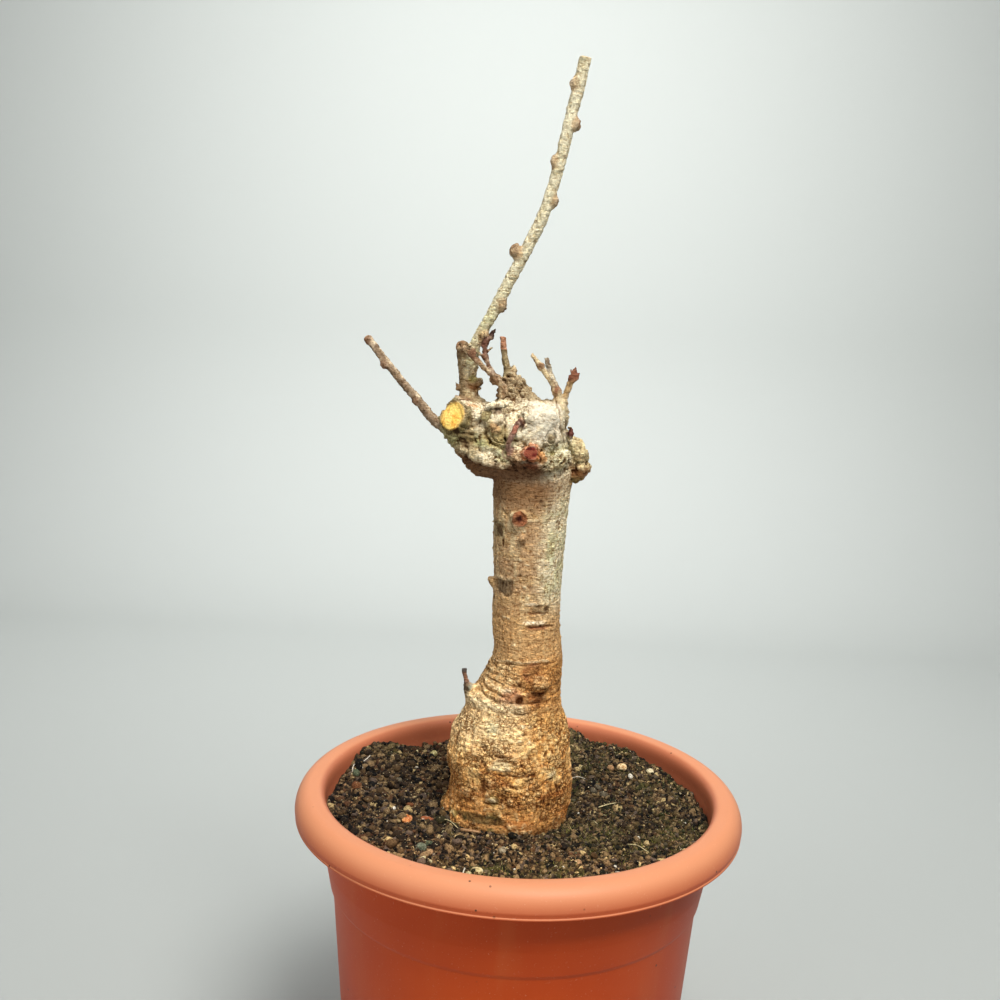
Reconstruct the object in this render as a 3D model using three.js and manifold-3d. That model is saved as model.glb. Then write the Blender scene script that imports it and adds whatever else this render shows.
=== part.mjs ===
// A young baobab with a swollen foot and a cut-back, knuckled head, in a round plastic pot.
// Lengths are millimetres and +Z is up. The origin is the centre of the pot's underside.
// The side seen in the photograph faces -Y, with the sawn branch stub on its left (-X).

import * as THREE from 'three';
import { mergeVertices } from 'three/addons/utils/BufferGeometryUtils.js';
import Module from 'manifold-3d';

const wasm = await Module();
wasm.setup();

// Pot: a blow-moulded wall with a rolled rim that is open underneath
const POT_HEIGHT = 220;
const RIM_RADIUS = 130;
const RIM_INNER_RADIUS = 112.4;
const RIM_DROP = 11.6;
const LIP_DROP = 3.6;
const LIP_WIDTH = 1.44;
const LIP_INSET = 0.4;
const WALL = 2.3;
const STEP_HEIGHT = 161;
const STEP_RISE = 2.5;
const STEP_RADIUS = 107.3;
const BAND_RADIUS = 109;
const NECK_RADIUS = 111.7;
const NECK_HEIGHT = 178;
const BASE_RADIUS = 94.6;
const BASE_CHAMFER = 1.2;
const FOOT_WIDTH = 8;
const FOOT_SLOPE = 1;
const FOOT_HEIGHT = 4;
const FLOOR_THICKNESS = 3;
const DRAIN_HOLES = 6;
const DRAIN_RADIUS = 6;
const DRAIN_RING = 62;
const DRILL_LENGTH = 30;
const DRILL_SIDES = 16;
const POT_SIDES = 56;
const RIM_STEPS = 10;
const RIM_INNER_STEPS = 6;
const RIM_SQUARENESS = 0.5;

// Potting mix: its level is the mean height of the surface above the pot's underside
const MIX_LEVEL = 205;
const MIX_RINGS = 13;
const CRUMBS = 40;
const CRUMB_MIN = 2.4;
const CRUMB_MAX = 4.6;
const CRUMB_KEEP_OFF = 52;
const CRUMB_SQUASH = 0.8;
const CRUMB_RISE = 0.15;
const CRUMB_SEED = 2741;

// Ripple over the whole mix: its height and the lengths and bends that make it uneven
const RIPPLE = { height: 1.4, lengthX: 8.5, lengthY: 9.5, bend: 1.3, bendLength: 14, slant: 23 };

// Low mounds in the mix: x, y, height, reach
const MOUNDS = [
  [-95, 55, 13, 26],
  [60, 72, 6.5, 36],
  [34, 102, 8, 12],
  [-50, -52, 2.5, 26],
  [62, -40, -3, 40],
  [0, -88, -2, 36],
];

// Clear gap left between pieces that touch
const GAP = 0.35;

// Trunk outline: height, left, right, front and back edge, root tip first
const TRUNK = [
  [104, -10, -5, -4, 1],
  [135, -19, 8, -15, 11],
  [170, -35, 22, -29, 25],
  [202, -45.2, 29, -38.4, 33.6],
  [218, -40.4, 30.5, -37.2, 34],
  [240, -42.3, 29, -36, 33],
  [252, -40.3, 28, -33.5, 30],
  [266, -33.2, 23.6, -29, 26],
  [277, -28.6, 21.7, -26.5, 24],
  [287, -23, 21.6, -24.3, 22.5],
  [295, -19.2, 21.9, -22.8, 21.5],
  [318, -19.8, 19.6, -21.5, 20.5],
  [350, -20, 20, -21.5, 20.5],
  [386, -21.7, 21.7, -22.5, 21.5],
  [416, -22, 23, -22, 22],
];
const TRUNK_SIDES = 28;
const TRUNK_STEP = 9;

// Flutes round the foot: they fade over some height and wind slowly round the trunk
const FLUTES = 5;
const FLUTE_DEPTH = 1.3;
const FLUTE_TOP = 300;
const FLUTE_FADE = 60;
const FLUTE_LEAST = 0.25;
const FLUTE_WIND = 34;

// Side roots inside the mix: points from the root outwards, then start and end radius
const SIDE_ROOTS = [
  { points: [[-20, -8, 178], [-48, -22, 160], [-72, -40, 128]], radius: [9.5, 2] },
  { points: [[12, -14, 172], [36, -36, 150], [50, -58, 110]], radius: [8.5, 2] },
  { points: [[10, 14, 180], [42, 30, 162], [72, 42, 136]], radius: [9.5, 2] },
  { points: [[-14, 12, 168], [-34, 40, 140], [-40, 62, 92]], radius: [8.5, 2] },
];
const ROOT_SIDES = 6;
const ROOT_STEPS = 4;

// Knuckled head: centre x, y, z, half sizes x, y, z and lean in degrees about the depth axis
const HEAD_LUMPS = [
  [-1.5, -1, 423, 22, 27, 24, 0],
  [-2, -14, 431, 18.5, 15.5, 15.5, 0],
  [-12, -15, 415.5, 24, 12.5, 10.5, 10],
  [-24, -6, 418, 17, 19, 17, 25],
  [-34, -8, 425, 17, 15, 13.5, 38],
  [-43, -10, 430, 10, 10.5, 10, 30],
  [-33, 4, 436, 11, 11, 9, 0],
  [-8, 8, 436, 20, 16, 11, 0],
  [10, 0, 436, 9.5, 11, 10.5, 0],
  [2, 13, 419, 19.5, 15, 20, 0],
  [-20, 13, 421, 16, 13, 14, 20],
  [25.5, 1, 415, 6, 9, 11, -12],
  [27, -1, 406.5, 4.3, 6, 5.5, 0],
];
const LUMP_ACROSS = 12;
const LUMP_DOWN = 8;
const BUD_ACROSS = 6;
const BUD_DOWN = 4;

// Scar hollows cut into the head's face: centre and radius
const SCAR_HOLLOWS = [
  [-20, -32, 431, 7.5],
  [8.5, -31.5, 428, 4.5],
];

// Shoots, stubs and twigs: points from the root outwards, start and end radius, sides, steps
const LIMBS = [
  { name: 'sawn stub', points: [[-30, -5, 427], [-39.5, -11.8, 433.2], [-45.2, -17.8, 435.6]],
    radius: [12.7, 9], sides: 14, steps: 2 },
  { name: 'thick stub', points: [[-34, 3, 432], [-38.3, 4, 450], [-40.8, 4, 463.5], [-42.3, 4, 475]],
    radius: [5.7, 3.6], sides: 8, steps: 4 },
  { name: 'long shoot', points: [[-38.4, 4, 458], [-35, 4, 475], [-24.1, 3, 497.4], [-12.2, 2, 521.3],
    [-1.7, 0, 544.1], [5.4, -2, 567.5], [11.5, -4, 595.5], [15.6, -5.7, 614.5], [18.3, -7, 629.5]],
    radius: [3.3, 3.1], sides: 8, steps: 16 },
  { name: 'left twig', points: [[-46, -3, 424], [-58.9, -4, 434.5], [-79.4, -2, 457], [-96.2, 2, 476.3]],
    radius: [3.4, 1.9], sides: 7, steps: 6 },
  { name: 'crossing twig', points: [[-16, -2, 444], [-21, -6, 454.5], [-30.8, -8, 463.7],
    [-41.6, -6, 473.6]], radius: [2.6, 1.7], sides: 6, steps: 5 },
  { name: 'bud twig', points: [[-22.5, -7, 456], [-28.9, -4, 467.5], [-29, -3, 475.3],
    [-25.4, -3, 481.5]], radius: [2, 1.3], sides: 6, steps: 5 },
  { name: 'cone under the peg', points: [[-9, 1, 438], [-12, 1, 449], [-15.2, 2, 459.5]],
    radius: [14.8, 5], sides: 12, steps: 3 },
  { name: 'peg', points: [[-14, 2, 452], [-17.2, 2, 461.5], [-19.9, 1, 480.5]],
    radius: [3, 2], sides: 8, steps: 3 },
  { name: 'right twig', points: [[14.5, -1, 438], [11.5, -3, 452], [5.5, -4, 460.6], [-2.9, -5, 471]],
    radius: [3, 1.4], sides: 7, steps: 5 },
  { name: 'right twig fork', points: [[10, -3, 455], [6.8, -2, 463.4], [4.8, -1, 470]],
    radius: [1.8, 1.3], sides: 6, steps: 2 },
  { name: 'outer right twig', points: [[14.6, 0, 442], [18.4, 0, 454.9], [21, 0, 461.5]],
    radius: [2, 1.3], sides: 6, steps: 2 },
  { name: 'cut stub on the face', points: [[-3, -22, 421], [-1.4, -33.6, 418.9]],
    radius: [5, 4.4], sides: 8, steps: 1 },
  { name: 'twig on the face', points: [[-12.6, -27, 417], [-12.6, -31, 426], [-10.6, -29.5, 432]],
    radius: [2.6, 1.4], sides: 6, steps: 3 },
  { name: 'peg on the foot', points: [[-27, -4, 268], [-31.8, -7, 280], [-34.8, -7, 289.5]],
    radius: [6.9, 1.6], sides: 8, steps: 3 },
  { name: 'nub on the trunk', points: [[-9, -17, 377], [-6.6, -24, 382.6]],
    radius: [4.6, 3], sides: 8, steps: 1 },
  { name: 'bark flake on the trunk', points: [[-18, -4, 341], [-22.6, -5, 348.5]],
    radius: [2.4, 1.1], sides: 6, steps: 1 },
];

// Buds and knots: centre x, y, z, radius and stretch upwards
const BUDS = [
  [14.2, -6.5, 614.5, 2.9, 1.5],
  [14.4, -4.5, 594.2, 2.9, 1.5],
  [4.6, -2.8, 574.6, 2.9, 1.5],
  [4.8, -1, 554.5, 2.9, 1.5],
  [-13.4, 1.2, 526, 3, 1.5],
  [-21.6, 2.6, 498, 3, 1.5],
  [-31, 3.6, 480, 3.4, 1.4],
  [-36.4, 2.6, 453, 4.6, 0.8],
  [-43, 3, 450.5, 2, 1.3],
  [-40, 3, 441.5, 6.4, 0.7],
  [-42.4, -2, 474.6, 3.6, 0.9],
  [-35.5, -6.5, 470.5, 2.8, 0.9],
  [-29.4, -4, 468.4, 2.4, 1],
  [-28.6, -3, 477.4, 2.4, 1.5],
  [-86.2, -1, 462, 2.6, 1.2],
  [11.6, -3, 451.8, 3, 0.9],
  [20.2, 0, 459.6, 2.2, 1.5],
  [20.6, -8.5, 427.5, 3, 1.6],
  [-11.6, -28, 417.4, 4.4, 1],
  [8, -21, 286, 9, 0.9],
];

// Loose pieces lying in the mix: place, size and turn in degrees
const BARK_CHIPS = [
  { name: 'bark_chip_tan', x: -62.5, y: -25.5, length: 9.5, width: 5, thickness: 2.6, turn: 78 },
  { name: 'bark_chip_red', x: -51, y: -25, length: 8, width: 4.8, thickness: 2.4, turn: 162 },
];
const GRIT_STONES = [
  [-19.7, -80.6, 3.2],
  [-6.9, -57.5, 2.8],
  [65.8, 56.2, 3.4],
  [-56.3, 68.4, 3],
  [83.7, 55.5, 2.8],
  [-50.7, -63.9, 3.4],
];
const CHIP_TILT = 6;
const CHIP_RISE = 0.9;
const STONE_RISE = 0.25;
const STONE_SQUASH = 0.72;

// A small repeatable random source, so that every run gives the same crumbs
function seededRandom(seed) {
  const factor = 16807;
  const limit = 2147483647;
  let state = seed;
  return () => {
    state = (state * factor) % limit;
    return state / limit;
  };
}

// Turn a closed three.js geometry into a solid that can be joined and cut
function solidFrom(geometry) {
  const plain = geometry.index ? geometry.toNonIndexed() : geometry.clone();
  plain.deleteAttribute('normal');
  plain.deleteAttribute('uv');
  const merged = mergeVertices(plain, 1e-4);
  return new wasm.Manifold(new wasm.Mesh({
    numProp: 3,
    vertProperties: new Float32Array(merged.attributes.position.array),
    triVerts: new Uint32Array(merged.index.array),
  }));
}

// Turn a solid back into a geometry for a mesh
function geometryFrom(solid) {
  const mesh = solid.getMesh();
  const geometry = new THREE.BufferGeometry();
  geometry.setAttribute('position', new THREE.BufferAttribute(mesh.vertProperties, 3));
  geometry.setIndex(new THREE.BufferAttribute(mesh.triVerts, 1));
  geometry.computeVertexNormals();
  return geometry;
}

// Revolve radius and height pairs about the Z axis; the profile runs anticlockwise
function revolve(profile, sides) {
  const points = profile.map(([radius, height]) => new THREE.Vector2(radius, height));
  return new THREE.LatheGeometry(points, sides).rotateX(Math.PI / 2);
}

// A smooth curve through stations, read at any height
function readStations(stations, height) {
  let i = 0;
  while (i < stations.length - 2 && height > stations[i + 1][0]) {
    i += 1;
  }
  const at = (k) => stations[Math.min(Math.max(k, 0), stations.length - 1)];
  const [before, from, to, after] = [at(i - 1), at(i), at(i + 1), at(i + 2)];
  const share = THREE.MathUtils.clamp((height - from[0]) / (to[0] - from[0]), 0, 1);
  return from.map((value, k) => {
    const slopeFrom = (to[k] - before[k]) / (to[0] - before[0]) * (to[0] - from[0]);
    const slopeTo = (after[k] - value) / (after[0] - from[0]) * (to[0] - from[0]);
    const s2 = share * share;
    const s3 = s2 * share;
    return (2 * s3 - 3 * s2 + 1) * value + (s3 - 2 * s2 + share) * slopeFrom
      + (3 * s2 - 2 * s3) * to[k] + (s3 - s2) * slopeTo;
  });
}

// How far a flute moves the trunk's skin out or in at an angle and height; the sides stay plain
function fluteDepth(angle, height) {
  const fade = THREE.MathUtils.clamp((FLUTE_TOP - height) / FLUTE_FADE, FLUTE_LEAST, 1);
  const wave = Math.cos(FLUTES * angle + height / FLUTE_WIND);
  return FLUTE_DEPTH * fade * wave * Math.sin(angle) ** 2;
}

// A point on the trunk's skin; spread moves it outwards
function trunkPoint(angle, height, spread) {
  const [, left, right, front, back] = readStations(TRUNK, height);
  const outwards = fluteDepth(angle, height) + spread;
  return new THREE.Vector3(
    (left + right) / 2 + ((right - left) / 2 + outwards) * Math.cos(angle),
    (front + back) / 2 + ((back - front) / 2 + outwards) * Math.sin(angle),
    height,
  );
}

// Move each vertex of an upright unit cylinder to place(share of its height, angle, reach)
function bendRings(cylinder, place) {
  const position = cylinder.attributes.position;
  for (let i = 0; i < position.count; i += 1) {
    const share = position.getY(i) + 0.5;
    const reach = Math.hypot(position.getX(i), position.getZ(i));
    const angle = Math.atan2(-position.getZ(i), position.getX(i));
    const point = place(share, angle, reach);
    position.setXYZ(i, point.x, point.y, point.z);
  }
  return cylinder;
}

// The trunk and its tap root as a stack of rings; spread makes the hole that it stands in
function trunkGeometry(spread) {
  const low = TRUNK[0][0];
  const high = TRUNK[TRUNK.length - 1][0];
  const rings = Math.round((high - low) / TRUNK_STEP);
  const geometry = new THREE.CylinderGeometry(1, 1, 1, TRUNK_SIDES, rings);
  return bendRings(geometry, (share, angle, reach) => {
    const height = low + share * (high - low);
    const skin = trunkPoint(angle, height, spread);
    const opposite = trunkPoint(angle + Math.PI, height, spread);
    const centre = opposite.add(skin).multiplyScalar(0.5);
    const point = centre.lerp(skin, reach);
    if (share === 0) {
      point.z -= spread;
    }
    return point;
  });
}

// A round limb along a smooth curve, with closed ends
function limbGeometry({ points, radius, sides = ROOT_SIDES, steps = ROOT_STEPS }, spread = 0) {
  const curve = new THREE.CatmullRomCurve3(points.map((p) => new THREE.Vector3(...p)));
  const frames = curve.computeFrenetFrames(steps, false);
  const cylinder = new THREE.CylinderGeometry(1, 1, 1, sides, steps);
  return bendRings(cylinder, (share, angle, reach) => {
    const k = Math.round(share * steps);
    const thick = THREE.MathUtils.lerp(radius[0], radius[1], share) + spread;
    const point = curve.getPointAt(share);
    point.addScaledVector(frames.tangents[k], (share === 1 ? spread : 0));
    point.addScaledVector(frames.normals[k], thick * reach * Math.cos(angle));
    point.addScaledVector(frames.binormals[k], thick * reach * Math.sin(angle));
    return point;
  });
}

// An egg-shaped lump, leaning about the depth axis
function lumpGeometry([x, y, z, halfX, halfY, halfZ, lean], across, down) {
  const geometry = new THREE.SphereGeometry(1, across, down);
  geometry.rotateX(Math.PI / 2).scale(halfX, halfY, halfZ);
  geometry.rotateY(THREE.MathUtils.degToRad(lean)).translate(x, y, z);
  return geometry;
}

// Root and trunk foot alone, grown by the gap: the hole that the plant stands in
function rootHole() {
  let hole = solidFrom(trunkGeometry(GAP));
  for (const root of SIDE_ROOTS) {
    hole = hole.add(solidFrom(limbGeometry(root, GAP)));
  }
  return hole;
}

// The whole plant, grown as one piece
function baobab() {
  let plant = solidFrom(trunkGeometry(0));
  for (const root of SIDE_ROOTS) {
    plant = plant.add(solidFrom(limbGeometry(root)));
  }
  for (const lump of HEAD_LUMPS) {
    plant = plant.add(solidFrom(lumpGeometry(lump, LUMP_ACROSS, LUMP_DOWN)));
  }
  for (const [x, y, z, radius] of SCAR_HOLLOWS) {
    const hollow = lumpGeometry([x, y, z, radius, radius, radius, 0], LUMP_ACROSS, LUMP_DOWN);
    plant = plant.subtract(solidFrom(hollow));
  }
  for (const limb of LIMBS) {
    plant = plant.add(solidFrom(limbGeometry(limb)));
  }
  for (const [x, y, z, radius, stretch] of BUDS) {
    const bud = lumpGeometry([x, y, z, radius, radius, radius * stretch, 0], BUD_ACROSS, BUD_DOWN);
    plant = plant.add(solidFrom(bud));
  }
  return geometryFrom(plant);
}

// Height of the mix at a place, before its crumbs
function mixHeight(x, y) {
  const { height, lengthX, lengthY, bend, bendLength, slant } = RIPPLE;
  let level = MIX_LEVEL;
  for (const [moundX, moundY, rise, reach] of MOUNDS) {
    level += rise * Math.exp(-((x - moundX) ** 2 + (y - moundY) ** 2) / reach ** 2);
  }
  const across = Math.sin(x / lengthX + bend * Math.sin(y / bendLength));
  const along = Math.cos(y / lengthY - x / slant);
  return level + height * across * along;
}

// Inner radius of the pot's wall at a height
function potInside(height) {
  const stations = [
    [0, BASE_RADIUS - WALL],
    [STEP_HEIGHT, STEP_RADIUS - WALL],
    [STEP_HEIGHT + STEP_RISE, BAND_RADIUS - WALL],
    [NECK_HEIGHT, NECK_RADIUS - WALL],
    [POT_HEIGHT - RIM_DROP, RIM_INNER_RADIUS],
  ];
  let i = 0;
  while (i < stations.length - 2 && height > stations[i + 1][0]) {
    i += 1;
  }
  const [[low, lowRadius], [high, highRadius]] = [stations[i], stations[i + 1]];
  return THREE.MathUtils.mapLinear(height, low, high, lowRadius, highRadius);
}

// Part of the rim's arch, drawn a given distance inside its outer skin; its inner half is squarer
function rimArch(inset, count, from, to) {
  const middle = (RIM_RADIUS + RIM_INNER_RADIUS) / 2;
  const halfWidth = (RIM_RADIUS - RIM_INNER_RADIUS) / 2;
  const points = [];
  for (let i = 0; i <= count; i += 1) {
    const turn = THREE.MathUtils.lerp(from, to, i / count);
    const [across, up] = [Math.cos(turn), Math.max(Math.sin(turn), 0)];
    const power = across < 0 ? RIM_SQUARENESS : 1;
    points.push([
      middle + (halfWidth - inset) * Math.sign(across) * Math.abs(across) ** power,
      POT_HEIGHT - RIM_DROP + (RIM_DROP - inset) * up ** power,
    ]);
  }
  return points;
}

// Section of the pot's wall, drawn anticlockwise from the floor's centre and back to it
function potProfile() {
  const lip = POT_HEIGHT - RIM_DROP - LIP_DROP;
  const floorTop = FOOT_HEIGHT + FLOOR_THICKNESS;
  return [
    [0, FOOT_HEIGHT],
    [BASE_RADIUS - FOOT_WIDTH - FOOT_SLOPE, FOOT_HEIGHT],
    [BASE_RADIUS - FOOT_WIDTH, 0],
    [BASE_RADIUS - BASE_CHAMFER, 0],
    [BASE_RADIUS, BASE_CHAMFER],
    [STEP_RADIUS, STEP_HEIGHT],
    [BAND_RADIUS, STEP_HEIGHT + STEP_RISE],
    [NECK_RADIUS, NECK_HEIGHT],
    ...rimArch(WALL, RIM_INNER_STEPS, Math.PI, 0),
    [RIM_RADIUS - LIP_INSET - LIP_WIDTH, lip],
    [RIM_RADIUS - LIP_INSET, lip],
    ...rimArch(0, RIM_STEPS, 0, Math.PI),
    [potInside(NECK_HEIGHT), NECK_HEIGHT],
    [potInside(STEP_HEIGHT + STEP_RISE), STEP_HEIGHT + STEP_RISE],
    [potInside(STEP_HEIGHT), STEP_HEIGHT],
    [potInside(floorTop), floorTop],
    [0, floorTop],
  ];
}

// The pot: one moulded wall with drain holes through its floor
function pot() {
  let shell = solidFrom(revolve(potProfile(), POT_SIDES));
  for (let i = 0; i < DRAIN_HOLES; i += 1) {
    const turn = (2 * Math.PI * i) / DRAIN_HOLES;
    const drill = new THREE.CylinderGeometry(DRAIN_RADIUS, DRAIN_RADIUS, DRILL_LENGTH, DRILL_SIDES);
    drill.rotateX(Math.PI / 2);
    drill.translate(DRAIN_RING * Math.cos(turn), DRAIN_RING * Math.sin(turn), FOOT_HEIGHT);
    shell = shell.subtract(solidFrom(drill));
  }
  return geometryFrom(shell);
}

// A loose bark chip lying on the mix, or its seat when it is grown by a gap
function chipGeometry({ x, y, length, width, thickness, turn }, spread) {
  const box = new THREE.BoxGeometry(length + 2 * spread, width + 2 * spread, thickness + 2 * spread);
  box.rotateX(THREE.MathUtils.degToRad(CHIP_TILT));
  box.rotateZ(THREE.MathUtils.degToRad(turn));
  return box.translate(x, y, mixHeight(x, y) + CHIP_RISE);
}

// A loose stone half sunk in the mix, or its seat when it is grown by a gap
function stoneGeometry([x, y, radius], spread) {
  const stone = new THREE.IcosahedronGeometry(radius + spread, 1);
  stone.scale(1, 1, STONE_SQUASH);
  stone.rotateZ(x);
  return stone.translate(x, y, mixHeight(x, y) + radius * STONE_RISE);
}

// The body of the mix: plain sides inside the pot and a rippled top
function mixBody() {
  const floor = FOOT_HEIGHT + FLOOR_THICKNESS + GAP;
  const side = (height) => [potInside(height) - GAP, height];
  const profile = [
    [0, floor],
    side(floor),
    side(STEP_HEIGHT),
    side(STEP_HEIGHT + STEP_RISE),
    side(NECK_HEIGHT),
    side(MIX_LEVEL),
  ];
  const topFrom = profile.length - 1;
  const edge = profile[topFrom][0];
  for (let i = 1; i <= MIX_RINGS; i += 1) {
    profile.push([edge * (1 - i / MIX_RINGS), MIX_LEVEL]);
  }
  const body = revolve(profile, POT_SIDES);
  const position = body.attributes.position;
  for (let i = 0; i < position.count; i += 1) {
    if (i % profile.length >= topFrom) {
      position.setZ(i, mixHeight(position.getX(i), position.getY(i)));
    }
  }
  return body;
}

// One crumb on the mix at a random place between the trunk and the wall
function crumbGeometry(random) {
  const outer = potInside(MIX_LEVEL) - GAP - CRUMB_MAX;
  const turn = 2 * Math.PI * random();
  const reach = CRUMB_KEEP_OFF + (outer - CRUMB_KEEP_OFF) * Math.sqrt(random());
  const size = CRUMB_MIN + (CRUMB_MAX - CRUMB_MIN) * random() ** 2;
  const crumb = new THREE.IcosahedronGeometry(size, 0);
  crumb.rotateX(2 * Math.PI * random());
  crumb.rotateY(2 * Math.PI * random());
  crumb.scale(1, 1, CRUMB_SQUASH);
  const [x, y] = [reach * Math.cos(turn), reach * Math.sin(turn)];
  return crumb.translate(x, y, mixHeight(x, y) + size * CRUMB_RISE);
}

// The potting mix: it fills the pot, with crumbs on top and holes for root and loose pieces
function pottingMix() {
  const random = seededRandom(CRUMB_SEED);
  let mix = solidFrom(mixBody());
  for (let i = 0; i < CRUMBS; i += 1) {
    mix = mix.add(solidFrom(crumbGeometry(random)));
  }
  mix = mix.subtract(rootHole());
  for (const chip of BARK_CHIPS) {
    mix = mix.subtract(solidFrom(chipGeometry(chip, GAP)));
  }
  for (const stone of GRIT_STONES) {
    mix = mix.subtract(solidFrom(stoneGeometry(stone, GAP)));
  }
  return geometryFrom(mix);
}

const MATERIALS = {
  terracotta: new THREE.MeshStandardMaterial({ color: 0xc9744a, roughness: 0.55, metalness: 0 }),
  soil: new THREE.MeshStandardMaterial({ color: 0x3a2a22, roughness: 0.95, metalness: 0 }),
  bark: new THREE.MeshStandardMaterial({ color: 0xb39468, roughness: 0.85, metalness: 0 }),
  tan: new THREE.MeshStandardMaterial({ color: 0xb0713a, roughness: 0.85, metalness: 0 }),
  red: new THREE.MeshStandardMaterial({ color: 0x8a4a34, roughness: 0.85, metalness: 0 }),
  stone: new THREE.MeshStandardMaterial({ color: 0xd8d0c2, roughness: 0.8, metalness: 0 }),
};

const plantInPot = new THREE.Group();

function place(name, geometry, material) {
  const mesh = new THREE.Mesh(geometry, material);
  mesh.name = name;
  plantInPot.add(mesh);
}

place('pot', pot(), MATERIALS.terracotta);
place('potting_mix', pottingMix(), MATERIALS.soil);
place('baobab', baobab(), MATERIALS.bark);
place(BARK_CHIPS[0].name, chipGeometry(BARK_CHIPS[0], 0), MATERIALS.tan);
place(BARK_CHIPS[1].name, chipGeometry(BARK_CHIPS[1], 0), MATERIALS.red);
GRIT_STONES.forEach((stone, i) => {
  place(`grit_stone_${i + 1}`, stoneGeometry(stone, 0), MATERIALS.stone);
});

export default plantInPot;
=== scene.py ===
"""The looks of a potted baobab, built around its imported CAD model.

Lengths in this file are millimetres until a mesh is made. +Z is up, the origin is the centre of
the pot's underside, and the photograph was taken from the -Y side.
"""

import math

import bmesh
import bpy
import numpy as np
from mathutils import Matrix, Vector


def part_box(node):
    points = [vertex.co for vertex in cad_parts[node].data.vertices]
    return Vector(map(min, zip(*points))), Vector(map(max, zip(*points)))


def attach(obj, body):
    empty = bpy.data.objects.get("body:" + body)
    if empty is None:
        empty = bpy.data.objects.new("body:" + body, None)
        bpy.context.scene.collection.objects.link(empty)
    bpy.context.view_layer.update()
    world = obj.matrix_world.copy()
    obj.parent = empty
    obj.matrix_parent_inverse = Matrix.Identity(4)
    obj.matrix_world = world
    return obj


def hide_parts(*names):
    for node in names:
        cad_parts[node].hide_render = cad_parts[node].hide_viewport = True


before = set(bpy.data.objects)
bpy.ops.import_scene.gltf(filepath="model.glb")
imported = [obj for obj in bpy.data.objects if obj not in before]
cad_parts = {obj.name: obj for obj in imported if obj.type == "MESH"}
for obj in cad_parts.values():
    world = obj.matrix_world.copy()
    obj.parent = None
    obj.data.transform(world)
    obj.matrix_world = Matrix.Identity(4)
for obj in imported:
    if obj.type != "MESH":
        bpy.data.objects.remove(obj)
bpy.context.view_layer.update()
MM = 0.001

# Pot, read from the frame
POT_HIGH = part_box("pot")[1]
RIM_RADIUS = POT_HIGH.x / MM
POT_HEIGHT = POT_HIGH.z / MM
PLANT_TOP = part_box("baobab")[1].z / MM

# Pot section
RIM_INNER_RADIUS = RIM_RADIUS - 17.6
RIM_DROP = 11.6
RIM_SQUARENESS = 0.5
LIP_DROP = 3.6
WALL = 2.3
STEP_HEIGHT = POT_HEIGHT - 59
STEP_RISE = 2.5
STEP_RADIUS = 107.3
BAND_RADIUS = 109.0
NECK_RADIUS = 111.7
NECK_HEIGHT = POT_HEIGHT - 42
BASE_RADIUS = 94.6
FOOT_WIDTH = 8.0
FOOT_HEIGHT = 4.0
FLOOR_THICKNESS = 3.0
DRAIN_HOLES = 6
DRAIN_RADIUS = 6.0
DRAIN_RING = 62.0
POT_SIDES = 288

# Camera, fitted to the pot's rim and wall in the photograph
FOCAL_PIXELS = 1100.0
PHOTO_PIXELS = 1000.0
SENSOR = 36.0
CAMERA_PLACE = Vector((0.0, -619.0, 479.4))
CAMERA_PITCH = 8.38
CAMERA_YAW = 1.65
CAMERA_ROLL = 2.34

# Trunk outline: height, left, right, front and back edge
TRUNK = np.array([
    [180, -38, 24, -33, 29], [200, -45.5, 29, -38, 33], [206, -45, 29, -38.5, 34],
    [214, -41, 30.4, -37, 34], [222, -40, 30.6, -37.5, 34], [240, -42.3, 29, -36, 33],
    [252, -40.3, 28, -33.5, 30], [266, -33.2, 23.6, -29, 26], [277, -28.6, 21.7, -26.5, 24],
    [287, -23, 21.6, -24.3, 22.5], [295, -19.2, 21.9, -22.8, 21.5], [318, -19.8, 19.6, -21.5, 20.5],
    [350, -20, 20, -21.5, 20.5], [386, -21.7, 21.7, -22.5, 21.5], [416, -22, 23, -22, 22],
])
TRUNK_TOP = 416.0
FLUTES = 5
FLUTE_DEPTH = 1.3
FLUTE_TOP = 300.0
FLUTE_FADE = 60.0
FLUTE_LEAST = 0.25
FLUTE_TWIST = 34.0
TRUNK_BLEND = 1.0

# Knuckled head: centre x, y, z, half sizes x, y, z and lean in degrees about the depth axis
HEAD_LUMPS = [
    (-1.5, -1, 423, 20.5, 26, 23, 0), (1, -15, 432, 15.5, 13.5, 13.5, 0), (-18, -12, 430, 14, 14, 13, 0),
    (-13, -14, 414.5, 23, 12, 10, 12), (-25, -6, 418, 16, 18, 16.5, 25), (-34, -8, 425, 16, 14, 12.5, 38),
    (-42, -10, 430, 9.5, 10, 9.5, 30), (-33, 4, 436, 10, 10, 8.5, 0), (-8, 8, 436, 19, 15, 10, 0),
    (9.5, 0, 436, 8.5, 10.5, 10, 0), (2, 13, 419, 18.5, 14, 19, 0), (-20, 13, 421, 15, 12, 13, 20),
]
LUMP_BLEND = 4.0

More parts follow.
